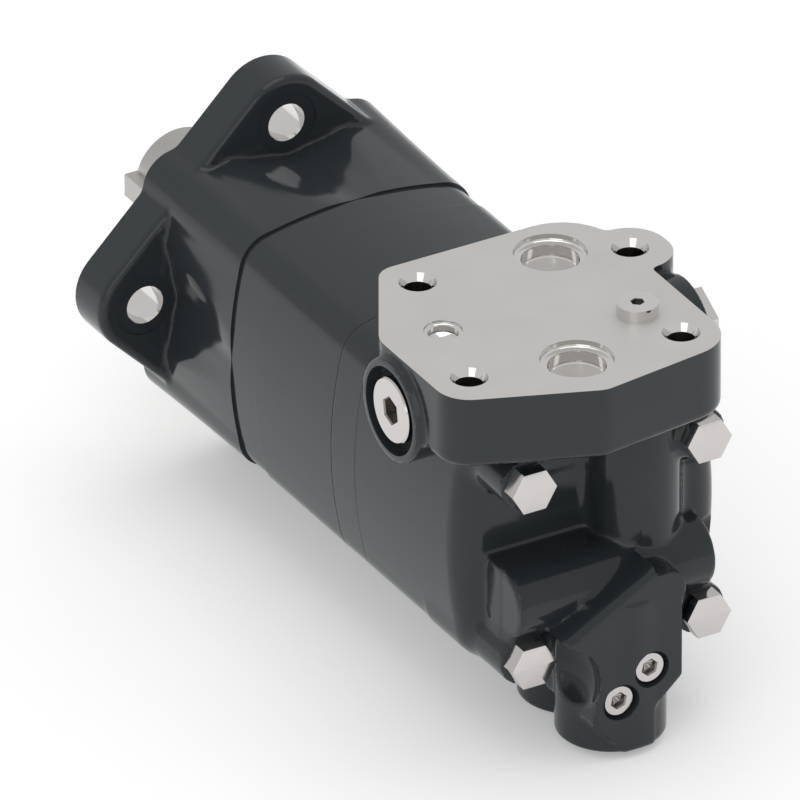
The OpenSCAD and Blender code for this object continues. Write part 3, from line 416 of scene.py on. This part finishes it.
def fieldSurface(field, low, high, cell):
    axes = [np.arange(a, b + cell, cell) for a, b in zip(low, high)]
    x, y, z = axes[0][:, None, None], axes[1][None, :, None], axes[2][None, None, :]
    inside = np.broadcast_to(field(x, y, z), [len(a) for a in axes]) < 0
    corner = [inside[i:len(axes[0]) - 1 + i, j:len(axes[1]) - 1 + j, k:len(axes[2]) - 1 + k]
              for i in (0, 1) for j in (0, 1) for k in (0, 1)]
    total = sum(c.astype(np.int8) for c in corner)
    active = (total > 0) & (total < 8)
    number = np.full(active.shape, -1, np.int64)
    number[active] = np.arange(active.sum())
    spot = np.stack(np.nonzero(active), -1)
    points = np.stack([axes[a][spot[:, a]] + cell / 2 for a in range(3)], -1)
    start = points.copy()
    step, roam = fieldSteps["probe"], fieldSteps["roam"] * cell
    for _ in range(fieldSteps["tries"]):
        px, py, pz = points.T
        value = field(px, py, pz)
        slope = np.stack([
            (field(px + step, py, pz) - field(px - step, py, pz)),
            (field(px, py + step, pz) - field(px, py - step, pz)),
            (field(px, py, pz + step) - field(px, py, pz - step))], -1) / (2 * step)
        size = np.maximum((slope ** 2).sum(-1), fieldSteps["leastSlope"])
        points = points - slope * (value / size)[:, None]
        points = start + np.clip(points - start, -roam, roam)
    quads = []
    for a in range(3):
        b, c = (a + 1) % 3, (a + 2) % 3
        near = np.take(inside, np.arange(inside.shape[a] - 1), a)
        far = np.take(inside, np.arange(1, inside.shape[a]), a)
        cross = np.stack(np.nonzero(near != far), -1)
        keep = (cross[:, b] > 0) & (cross[:, c] > 0)
        keep &= (cross[:, b] < active.shape[b]) & (cross[:, c] < active.shape[c])
        cross = cross[keep]
        outward = near[tuple(cross.T)]
        ring = []
        for db, dc in ((-1, -1), (0, -1), (0, 0), (-1, 0)):
            at = cross.copy()
            at[:, b] += db
            at[:, c] += dc
            ring.append(number[tuple(at.T)])
        ring = np.stack(ring, -1)
        ring[~outward] = ring[~outward][:, ::-1]
        quads.append(ring)
    return points, np.concatenate(quads)


# body outline: four crowned sides and four round corners
bodyShape = {"halfWidth": 46.8, "sideRadius": 146.0, "cornerRadius": 12.0}
sideCentre = bodyShape["sideRadius"] - bodyShape["halfWidth"]
cornerCentre = (math.sqrt(2 * (bodyShape["sideRadius"] - bodyShape["cornerRadius"]) ** 2 - sideCentre ** 2)
                - sideCentre) / 2


def bodyOutline(x, z):  # distance to the crowned side, or past its end to the corner's circle
    u = np.minimum(np.abs(x), np.abs(z))
    v = np.maximum(np.abs(x), np.abs(z))
    side = np.hypot(u, v + sideCentre) - bodyShape["sideRadius"]
    corner = np.hypot(u - cornerCentre, v - cornerCentre) - bodyShape["cornerRadius"]
    return np.where(u * (cornerCentre + sideCentre) < cornerCentre * (v + sideCentre), side, corner)


# front housing
housing = {"flange": 17.0, "boltCircle": 53.2, "earRadius": 16.7, "holeRadius": 6.75, "spotRadius": 10.75,
           "spotDepth": 0.6, "pilotRadius": 41.275, "pilotHeight": 6.0, "pilotChamfer": 0.8,
           "scoopDepth": 5.3, "troughRadius": 65.0, "troughDepth": 4.3, "cornerBump": 1.35, "edge": 2.6,
           "bodyEdge": 1.0, "proud": 0.35, "sealLip": 18.3, "dustBore": 23.55, "dustDepth": 1.5,
           "cupStep": 1.5, "trim": 8.0, "margin": (2, 3), "cell": 0.8}
# how far the tools reach past what they cut or join
housingTools = {"half": 90, "thick": 20, "boreStart": -30, "holePast": 3, "spotPast": 2.5, "pilotIn": 2.0}
housingBlend = {"post": 1.2, "ears": 1.6, "trough": 1.0, "scoopStart": 1.2, "scoop": 1.0}


# The body's outline, with its corners swelling towards the flange, carried along y and joined with the
# flange: a square with round corners, stood on its corner. On each side a scoop is cut away, which is a
# groove along a rising line joined with a wide trough, both circles in cross-section.
def housingField(x, y, z):
    v, k = housing, housingBlend
    depth = -y
    length = -wearY
    along = np.clip(depth / length, 0.0, 1.0)
    u, w = np.abs(x), np.abs(z)
    bump = cornerCentre + v["cornerBump"] * (1.0 - along)
    post = np.hypot(u - bump, w - bump) - bodyShape["cornerRadius"]
    body = prism(roundMin(bodyOutline(x, z) - v["proud"], post, k["post"]), depth,
                 -v["trim"], length + v["trim"], v["bodyEdge"])
    half = (v["boltCircle"] + v["earRadius"] * math.sqrt(2)) / math.sqrt(2) - v["earRadius"]
    a, b = np.abs(x + z) / math.sqrt(2) - half, np.abs(x - z) / math.sqrt(2) - half
    ears = np.hypot(np.maximum(a, 0), np.maximum(b, 0)) + np.minimum(np.maximum(a, b), 0) - v["earRadius"]
    solid = roundMin(body, prism(ears, depth, -v["trim"], v["flange"], v["edge"]), k["ears"])
    across, outward = np.minimum(u, w), np.maximum(u, w)
    rise = (depth - v["flange"]) / (length - v["flange"])
    grooveRadius = v["boltCircle"] - bodyShape["halfWidth"] + v["scoopDepth"]
    groove = np.hypot(across, outward - v["boltCircle"] - v["scoopDepth"] * rise) - grooveRadius
    centre = bodyShape["halfWidth"] - v["troughDepth"] * (1.0 - rise) + v["troughRadius"]
    trough = np.hypot(across, outward - centre) - v["troughRadius"]
    scoop = roundMax(roundMin(groove, trough, k["trough"]), v["flange"] - depth, k["scoopStart"])
    return roundMax(solid, -scoop, k["scoop"])


def housingBore():  # steps behind the front face: dust seal, lip, shaft seal and the two bearing cups
    v = housing
    sealLow, sealHigh = nodeSpan("shaft_seal")
    frontCup = nodeSpan("front_bearing_cup")[1]
    rearCup = nodeSpan("rear_bearing_cup")[1]
    steps = [(v["dustBore"], v["dustDepth"]), (v["sealLip"], -sealHigh[1]),
             ((sealHigh[0] - sealLow[0]) / 2, -frontCup[1]), (frontCup[0], -rearCup[1] - v["cupStep"]),
             (rearCup[0], -wearY + v["trim"])]
    return turnedPart(steppedRows(housingTools["boreStart"], steps), (0, 0, 0), "-y", 144)


def makeHousing():
    v, tools = housing, housingTools
    half, thick = tools["half"], tools["thick"]
    reach, beyond = v["boltCircle"] + v["earRadius"] + v["margin"][0], v["margin"][1]
    low, high = (-reach, wearY - beyond, -reach), (reach, beyond, reach)
    skin = fieldSurface(housingField, low, high, v["cell"])
    piece = looseObject("front_casting", arrayMesh("front_casting", *skin, ["castPaint"], merge=False))
    front = boxPart((-half, 0.0, -half), (half, thick, half))
    holes, spots = [], [boxPart((-half, wearY - thick, -half), (half, wearY, half))]
    for x, z in ((0, 1), (-1, 0), (0, -1), (1, 0)):
        place = (x * v["boltCircle"], 0, z * v["boltCircle"])
        rows = steppedRows(-v["trim"], [(v["holeRadius"], v["flange"] + tools["holePast"])])
        holes.append(turnedPart(rows, place, "-y", 96))
        rows = steppedRows(v["flange"] - v["spotDepth"], [(v["spotRadius"], v["flange"] + tools["spotPast"])])
        spots.append(turnedPart(rows, place, "-y", 96))
    carve(piece, [arrayMesh("front", *front, ["machinedFace"]),
                  arrayMesh("spots", *joined(spots), ["castPaint"])])
    height, radius, chamfer = v["pilotHeight"], v["pilotRadius"], v["pilotChamfer"]
    rows = [(-height, 0), (-height, radius - chamfer), (-height + chamfer, radius),
            (tools["pilotIn"], radius), (tools["pilotIn"], 0)]
    pilot = turnedPart(rows, (0, 0, 0), "-y", 192)
    carve(piece, [arrayMesh("pilot", *pilot, ["machinedFace"])], "UNION")
    carve(piece, [arrayMesh("holes", *joined(holes + [housingBore()]), ["boreMetal"])])
    castingPiece(piece, "front_housing")


makeHousing()

# rear casting, with depths behind its front face
cover = {"length": 68.7, "round": 10.0, "start": -20.0, "plate": 25.4, "trim": 8.0,
         "crossZ": 56.2, "crossDepth": 58.1, "crossRadius": 17.7, "crossLeft": -67.5, "crossLength": 110.6,
         "neckX": 15.8, "neckDepth": 73.4, "neckRadius": 15.0, "neckShift": 1.0, "neckBelow": 6.0,
         "lowerZ": -13.0, "lowerDepth": 79.7, "lowerRadius": 12.3, "lowerLeft": -38.0, "lowerRight": 35.0,
         "blockHalf": 15.0, "blockExtra": 0.15, "bossRadius": 18.2, "bottom": -67.5, "rearBossDepth": 83.9,
         "frontBossDepth": 57.1, "frontBossX": 1.5, "frontBossTop": -30.0, "rearStart": 70.0,
         "rearFace": 101.4, "rearSlope": (-0.491, 0.871, 5.13), "scoop": (-29.0, 92.0, -39.0, 17.6),
         "tieOffset": 32.6, "tieRadius": 9.0, "tieStart": 40.0, "tieSeat": 85.4,
         "wallOut": 7.1, "wallHalf": 17.0, "pedestalZ": (25.0, 60.0),
         "margins": ((-70.0, 113.5, 2.5), (49.5, 3, 3)), "cell": 1.0}
coverEdge = {"pedestal": 1.0, "neck": 1.0, "plate": 2.4, "cross": 1.1, "lower": 1.4, "tie": 0.8, "rear": 0.9,
             "boss": 1.4}
coverBlend = {"pedestal": 5.0, "lobe": 2.5, "cross": 3.0, "plate": 2.5, "wallCut": 1.5, "wall": 2.5,
              "neck": 5.5, "block": 0.8, "lower": 2.0, "tie": 3.5, "rearRoll": 4.5, "rearSlope": 0.6,
              "boss": 1.0, "scoop": 0.6, "frontBoss": 3.0, "rear": 1.5}
# outlines seen from above (x, depth) and, for the pad at the rear, from behind (x, z), with corner radii
plateCorners = [(-42.4, 7.8, 8), (34.4, 7.8, 19.8), (34.4, 104.0, 15), (-17.5, 111.1, 9), (-64.9, 92.6, 12),
                (-64.9, 46.8, 13)]
lobeCorners = [(20, 22.5, 2), (47.9, 22.5, 13), (47.9, 50.3, 12), (20, 50.3, 2)]
pedestalCorners = [(-36, 14, 6), (29, 14, 6), (29, 66, 6), (-36, 66, 6)]
rearFaceCorners = [(-27.5, -21.2, 0.8), (-27.5, 3, 1), (6.8, 3, 1), (7.2, -5.2, 1.2), (20.5, -5.4, 6.5),
                   (17, -17.5, 4), (17, -44.5, 3), (6.5, -54.2, 3), (6.5, -67.5, 1), (-4.6, -67.5, 1),
                   (-16.8, -54.5, 3), (-14.3, -43, 6), (-14.3, -34, 5), (-17, -29, 3)]
plateOutline = roundedPolygon(plateCorners)
lobeOutline = roundedPolygon(lobeCorners)
pedestalOutline = roundedPolygon(pedestalCorners)
rearOutline = roundedPolygon(rearFaceCorners, 5)


# Every form is an outline or a circle carried along one axis, joined to the others with a fillet: body and
# pedestal, cross bore's boss, manifold plate, wall beside the neck, neck, lower boss with its block, tie
# posts, front boss, and last the rear pad with the rear boss, less a ball for the scoop.
def coverField(x, y, z):
    v, e, k = cover, coverEdge, coverBlend
    depth = coverY - y
    body = prism(bodyOutline(x, z), depth, v["start"], v["length"], v["round"])
    pedestal = prism(polygonField(pedestalOutline, x, depth), z, *v["pedestalZ"], e["pedestal"])
    body = roundMin(body, pedestal, k["pedestal"])
    neck = prism(np.hypot(x - v["neckX"] + v["neckShift"], depth - v["neckDepth"]) - v["neckRadius"], z,
                 v["lowerZ"], manifoldZ - v["neckBelow"], e["neck"])
    outline = roundMin(polygonField(plateOutline, x, depth), polygonField(lobeOutline, x, depth), k["lobe"])
    plate = prism(outline, z, manifoldZ - v["plate"], manifoldZ + v["trim"], e["plate"])
    cross = prism(np.hypot(depth - v["crossDepth"], z - v["crossZ"]) - v["crossRadius"], x,
                  v["crossLeft"], v["crossLeft"] + v["crossLength"], e["cross"])
    solid = roundMin(roundMin(body, cross, k["cross"]), plate, k["plate"])
    wall = prism(bodyOutline(x, z), depth, 0.0, v["length"] + v["wallOut"], v["round"])
    wall = roundMax(wall, np.maximum(np.abs(z) - v["wallHalf"], v["neckX"] - x), k["wallCut"])
    solid = roundMin(solid, wall, k["wall"])
    solid = roundMin(solid, neck, k["neck"])
    lower = prism(np.hypot(depth - v["lowerDepth"], z - v["lowerZ"]) - v["lowerRadius"], x,
                  v["lowerLeft"], v["lowerRight"], e["lower"])
    thick = np.abs(z - v["lowerZ"]) - v["lowerRadius"] + v["blockExtra"]
    block = prism(np.maximum(thick, np.abs(depth - v["lowerDepth"] + v["blockHalf"]) - v["blockHalf"]), x,
                  v["lowerLeft"], v["neckX"], e["lower"])
    solid = roundMin(solid, roundMin(lower, block, k["block"]), k["lower"])
    for px in (-1, 1):
        for pz in (-1, 1):
            post = np.hypot(x - px * v["tieOffset"], z - pz * v["tieOffset"]) - v["tieRadius"]
            solid = roundMin(solid, prism(post, depth, v["tieStart"], v["tieSeat"], e["tie"]), k["tie"])
    slopeX, slopeZ, slopeAt = v["rearSlope"]  # the pad's long edge, rolled over to its face
    slope = slopeX * x + slopeZ * z + slopeAt
    rear = prism(polygonField(rearOutline, x, z), depth, v["rearStart"], v["rearFace"], e["rear"])
    rear = roundMax(rear, roundMax(slope, depth - v["rearFace"], k["rearRoll"]), k["rearSlope"])
    boss = prism(np.hypot(x, depth - v["rearBossDepth"]) - v["bossRadius"], z,
                 v["bottom"], v["lowerZ"], e["boss"])
    bossFront = prism(np.hypot(x - v["frontBossX"], depth - v["frontBossDepth"]) - v["bossRadius"], z,
                      v["bottom"], v["frontBossTop"], e["boss"])
    sx, sDepth, sz, sRadius = v["scoop"]
    pocket = np.sqrt((x - sx) ** 2 + (depth - sDepth) ** 2 + (z - sz) ** 2) - sRadius
    lowerBody = roundMax(roundMin(rear, boss, k["boss"]), -pocket, k["scoop"])
    solid = roundMin(solid, bossFront, k["frontBoss"])
    return roundMin(solid, lowerBody, k["rear"])


# the boxes that trim the manifold face and the front face, which stops just short of the manifold face
coverTrim = {"half": 120, "behind": 160, "ahead": 60, "high": 30, "frontHalf": 90, "thick": 40, "gap": 0.001}
# holes in the rear casting: places on the manifold face are (x, depth), on the rear pad (x, z)
portPlaces = [(11.3, 25.4), (-15.8, 89.0)]
threadPlaces = [(-35.3, 20.6), (35.2, 35.5), (21.8, 91.0), (-51.7, 82.0)]
servicePlace = (-43.7, 51.4)
rearPlugPlaces = [(5.2, -39.2), (-6.3, -48.3)]


coverHoles = {
    "port": [(-20, 0), (-20, 12.1), (1.5, 12.1), (1.8, 12.03), (2.1, 11.85), (2.3, 11.6), (2.4, 11.2),
             (2.6, 9.6), (3.0, 9.5), (6.8, 9.5), (7.2, 9.2), (9.8, 0)],
    "service": [(-20, 0), (-20, 6.3), (0.9, 6.3), (1.2, 6.1), (1.4, 5.7), (1.5, 5.0), (3.6, 4.9), (3.9, 4.5),
                (4.6, 0)],
    "countersink": [(-20, 0), (-20, 6.2), (0.0, 6.2), (2.6, 4.85), (2.6, 0)],
    "thread": [(2.5, 0), (2.5, 4.8), (4.0, 4.75), (18.5, 4.75), (21.0, 0)],
    "crossLeft": steppedRows(-20, [(15.05, 5.0), (11.0, 6.5), (10.05, 17.5)]),
    "crossRight": steppedRows(-20, [(13.4, 0.0), (10.05, 12.5)]),
    "lower": steppedRows(-20, [(9.2, 0.0), (8.05, 9.0)]),
    "rearPlug": steppedRows(-10, [(6.5, 3.3), (4.65, 7.3)]),
    "boss": steppedRows(-10, [(11.5, 8.0), (9.05, 13.5), (6.1, 36.0)]),
    "chamber": steppedRows(-10, [(34.0, 22.3), (29.0, 29.0)]),
}


def bossPlaces():
    v = cover
    return [(0.0, coverY - v["rearBossDepth"], v["bottom"]),
            (v["frontBossX"], coverY - v["frontBossDepth"], v["bottom"])]


def coverCutters():
    v, t, top = cover, coverTrim, manifoldZ
    crossY = coverY - v["crossDepth"]
    right = v["crossLeft"] + v["crossLength"]
    half, front = t["half"], t["frontHalf"]
    flats = joined([
        boxPart((-half, coverY - t["behind"], top), (half, coverY + t["ahead"], top + t["high"])),
        boxPart((-front, coverY, -front), (front, coverY + t["thick"], top - t["gap"]))])

    def hole(key, place, axis, steps):
        return turnedPart(coverHoles[key], place, axis, steps)

    bright = [hole("port", (x, coverY - depth, top), "-z", 96) for x, depth in portPlaces]
    bright.append(hole("service", (servicePlace[0], coverY - servicePlace[1], top), "-z", 72))
    bright.append(hole("chamber", (0, coverY, 0), "-y", 144))
    cones = [hole("countersink", (x, coverY - depth, top), "-z", 72) for x, depth in threadPlaces]
    # the tapped bores get the darker metal, painted shade inside the holes
    dark = [hole("thread", (x, coverY - depth, top), "-z", 72) for x, depth in threadPlaces]
    paint = [hole("crossLeft", (v["crossLeft"], crossY, v["crossZ"]), "x", 120),
             hole("crossRight", (right, crossY, v["crossZ"]), "-x", 120),
             hole("lower", (v["lowerRight"], coverY - v["lowerDepth"], v["lowerZ"]), "-x", 96)]
    paint += [hole("rearPlug", (x, coverY - v["rearFace"], z), "y", 72) for x, z in rearPlugPlaces]
    paint += [hole("boss", place, "z", 96) for place in bossPlaces()]
    groups = [("flats", flats, "machinedFace"), ("bright", joined(bright), "boreMetal"),
              ("cones", joined(cones), "boreMetal"), ("dark", joined(dark), "threadMetal"),
              ("paint", joined(paint), "castPaint")]
    return [arrayMesh(name, *part, [finish]) for name, part, finish in groups]


def makeCover():
    v = cover
    (lowX, lowDepth, lowZ), (highX, highY, highZ) = v["margins"]
    low = (lowX, coverY - lowDepth, v["bottom"] - lowZ)
    high = (highX, coverY + highY, manifoldZ + highZ)
    skin = fieldSurface(coverField, low, high, v["cell"])
    piece = looseObject("rear_casting", arrayMesh("rear_casting", *skin, ["castPaint"], merge=False))
    carve(piece, coverCutters())
    castingPiece(piece, "valve_housing")


makeCover()

# plates of the stack: an outer outline and an inner one in polar form, joined by faces and bevels
plates = {
    "wear_plate": {"node": "spacer_plate", "inset": 0.45, "bevel": 0.12, "bore": 17.2},
    "roller_ring": {"node": "geroler_ring", "inset": 0.0, "bevel": 0.12, "bore": 29.3},
    "timing_plate": {"node": "valve_plate", "inset": 0.04, "bevel": 0.3, "bore": 15.7},
}
pockets = {"count": 7, "circle": 30.5, "radius": 6.35}
plateSteps = {"angles": 1008, "bevel": 4, "halvings": 30, "reach": (30.0, 70.0), "flat": 3}


def outerReach(angle, inset):  # halving steps along each ray until the outline's distance is minus inset
    low, high = (np.full(angle.shape, reach) for reach in plateSteps["reach"])
    for _ in range(plateSteps["halvings"]):
        middle = (low + high) / 2
        outside = bodyOutline(middle * np.cos(angle), middle * np.sin(angle)) > -inset
        high, low = np.where(outside, middle, high), np.where(outside, low, middle)
    return low


def innerReach(angle, bore, withPockets):  # the bore, or the far side of a roller's pocket
    if not withPockets:
        return np.full(angle.shape, bore)
    pitch = 2 * math.pi / pockets["count"]
    off = (-angle + pitch / 2) % pitch - pitch / 2
    inside = pockets["radius"] ** 2 - (pockets["circle"] * np.sin(off)) ** 2
    far = pockets["circle"] * np.cos(off) + np.sqrt(np.maximum(inside, 0.0))
    return np.where(inside > 0, np.maximum(far, bore), bore)


# Rings of points at one angle each, from the bore over the bevelled edge to the side and back: the rows
# next to the bevels keep the side flat up to its edge.
def makePlate(name, values):
    low, high = nodeSpan(values["node"])
    inset, bevel = values["inset"], values["bevel"]
    angle = np.linspace(0, 2 * math.pi, plateSteps["angles"], endpoint=False)
    inner = innerReach(angle, values["bore"], name == "roller_ring")
    turn = np.linspace(0, math.pi / 2, plateSteps["bevel"])
    bend, lift = bevel * (1 - np.cos(turn)), bevel * (1 - np.sin(turn))
    rows = [(inner, high[1])]
    rows += [(outerReach(angle, inset + b), high[1] - a) for a, b in zip(bend, lift)]
    rows += [(outerReach(angle, inset), high[1] - plateSteps["flat"] * bevel)]
    rows += [(outerReach(angle, inset), low[1] + plateSteps["flat"] * bevel)]
    rows += [(outerReach(angle, inset + b), low[1] + a) for a, b in zip(bend[::-1], lift[::-1])]
    rows += [(inner, low[1])]
    reach = np.stack([row[0] for row in rows])
    height = np.stack([np.full(angle.shape, row[1]) for row in rows])
    points = np.stack([reach * np.cos(angle), height, reach * np.sin(angle)], -1).reshape(-1, 3)
    count, steps = reach.shape
    i, j = np.meshgrid(np.arange(count), np.arange(steps), indexing="ij")
    i2, j2 = (i + 1) % count, (j + 1) % steps
    quads = np.stack([i * steps + j, i * steps + j2, i2 * steps + j2, i2 * steps + j], -1).reshape(-1, 4)
    mesh = arrayMesh(name, points, quads, ["castPaint"])
    addPiece(name, mesh, "housing", [values["node"]])


for plateName, plateValues in plates.items():
    makePlate(plateName, plateValues)
print("plates made:", len(plates))

# screws and plugs
bolts = {"offset": 32.6, "flats": 14.3, "head": 6.0, "shank": 4.7625, "edge": 0.15, "point": 1.0}


def makeBolts():
    v = bolts
    low, high = nodeSpan("tie_bolts")
    length = high[1] - low[1]
    rows = [(0, 0), (0, v["flats"] - 2 * v["edge"], "hex"),
            (v["edge"] * 0.4, v["flats"] - v["edge"] * 0.7, "hex"),
            (v["edge"], v["flats"], "hex"), (v["head"], v["flats"], "hex"), (v["head"], v["shank"]),
            (length - v["point"], v["shank"]), (length, v["shank"] - v["point"]), (length, 0)]
    parts = [turnedPart(rows, (px * v["offset"], low[1], pz * v["offset"]), "y", 72, 30.0)
             for px in (-1, 1) for pz in (-1, 1)]
    mesh = arrayMesh("through_bolts", *joined(parts), ["nickelPlate"])
    addPiece("through_bolts", mesh, "housing", ["tie_bolts"])


makeBolts()

# plugs: distances from the face of the bore, a round head with a hexagon socket and a stem, or whole rows
socketPlugs = {
    "left": {"head": 11.25, "socket": 8.0, "deep": 5.0, "below": 0.4, "stem": 10.0, "ends": (5.0, 17.5)},
    "rear": {"head": 5.6, "socket": 4.6, "deep": 2.5, "below": 1.3, "stem": 4.6, "ends": (3.3, 7.3)},
    "lower": {"head": 8.0, "socket": 8.0, "deep": 4.5, "below": 0.5, "stem": 7.6, "ends": (2.5, 9.0)},
    "bottom": {"head": 11.3, "socket": 8.0, "deep": 5.0, "below": 1.0, "stem": 9.0, "ends": (8.0, 13.5)},
}
plugRows = {
    "right": [(-6.3, 0), (-6.3, 9.6), (-6.0, 10.4), (-5.6, 22.2, "hex"), (0, 22.2, "hex"), (0, 10.0),
              (12.5, 10.0), (12.5, 0)],
    "top": [(3.4, 0), (3.0, 4.0, "hex"), (0.15, 4.0, "hex"), (0.0, 4.2, "hex"), (0.0, 6.8), (0.1, 6.9),
            (4.65, 6.9), (4.65, 4.45), (12.35, 4.45), (12.35, 0)],
}
socketFaces = {"inward": 0.3, "core": 0.0012, "slack": 1e-6}  # how squarely a face looks in, how near it is


def socketRows(head, socket, deep, below, stem, ends):
    return [(below + deep + 0.8, 0), (below + deep, socket, "hex"), (below + 0.5, socket, "hex"),
            (below, socket + 0.9, "hex"), (below, head - 0.5), (below + 0.5, head), (ends[0], head),
            (ends[0], stem), (ends[1], stem), (ends[1], 0)]


def plugPiece(name, node, rows, places, axis, turn, steps=144, finish="nickelPlate"):
    parts = [turnedPart(rows, place, axis, steps, turn) for place in places]
    mesh = arrayMesh(name, *joined(parts), [finish, "socketMetal"])
    middle = np.array([face.center for face in mesh.polygons])
    facing = np.array([face.normal for face in mesh.polygons])
    kinds = np.zeros(len(middle), np.int32)
    for part, _ in parts:  # a socket's faces look at the plug's own axis or lie close to it; they get the darker metal, painted shade of the socket recess
        low, high = part.min(0) * mm, part.max(0) * mm
        off = middle - (low + high) / 2
        off[:, "xyz".index(axis[-1])] = 0.0
        reach = np.linalg.norm(off, axis=1)
        inward = (off * facing).sum(1) < -socketFaces["inward"] * np.maximum(reach, 1e-9)
        near = np.all((middle > low - socketFaces["slack"]) & (middle < high + socketFaces["slack"]), axis=1)
        kinds[near & (inward | (reach < socketFaces["core"]))] = 1
    mesh.polygons.foreach_set("material_index", kinds)
    addPiece(name, mesh, "housing", [node])


def makePlugs():
    v = cover
    crossY = coverY - v["crossDepth"]
    right = v["crossLeft"] + v["crossLength"]
    plugPiece("left_socket_plug", "left_port_plug", socketRows(**socketPlugs["left"]),
              [(v["crossLeft"], crossY, v["crossZ"])], "x", 10.0)
    plugPiece("right_hexagon_plug", "right_port_plug", plugRows["right"],
              [(right, crossY, v["crossZ"])], "-x", 0.0)
    plugPiece("neck_plug", "top_plug", plugRows["top"],
              [(v["neckX"], coverY - v["neckDepth"], manifoldZ + topPlugRise)], "-z", 10.0,
              finish="boreMetal")
    plugPiece("passage_plugs", "rear_plugs", socketRows(**socketPlugs["rear"]),
              [(x, coverY - v["rearFace"], z) for x, z in rearPlugPlaces], "y", 12.0, steps=72)
    plugPiece("cross_boss_plug", "boss_plug", socketRows(**socketPlugs["lower"]),
              [(v["lowerRight"], coverY - v["lowerDepth"], v["lowerZ"])], "-x", 5.0)
    plugPiece("bottom_plugs", "relief_plugs", socketRows(**socketPlugs["bottom"]), bossPlaces(), "z", 0.0)


makePlugs()
print("screws and plugs made")

# the other pieces keep their CAD shape: a merged copy with smooth faces and a finish
finishOfSlot = {"rubber_seals": "sealRubber", "ground_shaft": "groundSteel", "bearing_steel": "groundSteel",
                "cage_steel": "sheetSteel", "gear_steel": "gearSteel", "valve_steel": "gearSteel",
                "spring_steel": "springWire", "plated_fasteners": "nickelPlate",
                "painted_casting": "castPaint"}
softSprings = {"relief_spring_front": "relief_front_slide", "relief_spring_rear": "relief_rear_slide"}


def softenSpring(piece):  # the spring piece gets a mesh of its own
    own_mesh(piece)


def dressNodes():
    slots = {row["node"]: row["material_slot"] for row in frame["record"]["subparts"]}
    body = {node: name for name, nodes in frame["record"]["behaviour"]["bodies"].items() for node in nodes}
    done = {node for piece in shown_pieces() for node in piece.get("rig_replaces", [])}
    for node in sorted(frame["nodes"]):
        if node in done:
            continue
        mesh = frame["nodes"][node].data.copy()
        shading = mesh.attributes.get("custom_normal")  # the imported shading would blur the edges
        if shading:
            mesh.attributes.remove(shading)
        work = bmesh.new()
        work.from_mesh(mesh)
        bmesh.ops.remove_doubles(work, verts=work.verts, dist=meshLimits["merge"])
        work.to_mesh(mesh)
        work.free()
        mesh.materials.clear()
        mesh.materials.append(materials[finishOfSlot[slots[node]]])
        smoothByAngle(mesh, meshLimits["sharpCad"])
        piece = addPiece(node + "_finished", mesh, body[node], [node])
        if node in softSprings:
            softenSpring(piece)


dressNodes()
print("inner pieces dressed")

# floor, lamps and world; a lamp is (name, place, width, power) and shines at the origin
studio = {"floorZ": -0.0700, "floorSize": 6.0, "floorGlow": 0.26, "paper": (0.88, 0.88, 0.88, 1),
          "paperRough": 0.9, "white": (1, 1, 1, 1), "worldStrength": 0.7,
          "lamps": [("overheadLamp", (0.05, 0.0, 2.0), 1.6, 9.0), ("sideLamp", (-1.4, -1.4, 0.8), 1.4, 5.0)]}


def paperMaterial(values):  # pale paper that glows a little for camera, glossy and transmission rays
    paper = bpy.data.materials.new("paper")
    paper.use_nodes = True
    tree = paper.node_tree
    shader = tree.nodes["Principled BSDF"]
    shader.inputs["Base Color"].default_value = values["paper"]
    shader.inputs["Roughness"].default_value = values["paperRough"]
    glow = tree.nodes.new("ShaderNodeEmission")
    glow.inputs["Color"].default_value = values["white"]
    glow.inputs["Strength"].default_value = values["floorGlow"]
    add = tree.nodes.new("ShaderNodeAddShader")
    blend = tree.nodes.new("ShaderNodeMixShader")
    path = tree.nodes.new("ShaderNodeLightPath")
    seen = path.outputs["Is Camera Ray"]
    for kind in ("Is Glossy Ray", "Is Transmission Ray"):
        either = tree.nodes.new("ShaderNodeMath")
        either.operation = "MAXIMUM"
        tree.links.new(seen, either.inputs[0])
        tree.links.new(path.outputs[kind], either.inputs[1])
        seen = either.outputs[0]
    tree.links.new(shader.outputs[0], add.inputs[0])
    tree.links.new(glow.outputs[0], add.inputs[1])
    tree.links.new(seen, blend.inputs[0])
    tree.links.new(shader.outputs[0], blend.inputs[1])
    tree.links.new(add.outputs[0], blend.inputs[2])
    tree.links.new(blend.outputs[0], tree.nodes["Material Output"].inputs["Surface"])
    return paper


def makeStudio(values):
    size, z = values["floorSize"], values["floorZ"]
    mesh = bpy.data.meshes.new("floor")
    corners = [(-size, -size, z), (size, -size, z), (size, size, z), (-size, size, z)]
    mesh.from_pydata(corners, [], [(0, 1, 2, 3)])
    mesh.materials.append(paperMaterial(values))
    floor = looseObject("floor", mesh)
    world = bpy.data.worlds.new("studio")
    bpy.context.scene.world = world
    world.use_nodes = True
    sky = world.node_tree.nodes["Background"]
    sky.inputs["Color"].default_value = values["white"]
    sky.inputs["Strength"].default_value = values["worldStrength"]
    for name, place, width, power in values["lamps"]:
        data = bpy.data.lights.new(name, "AREA")
        data.size, data.energy = width, power
        looseObject(name, data).matrix_world = aimedMatrix(place, np.array(place) / np.linalg.norm(place))


makeStudio(studio)
bpy.context.scene.view_settings.view_transform = "Standard"
print("studio made")
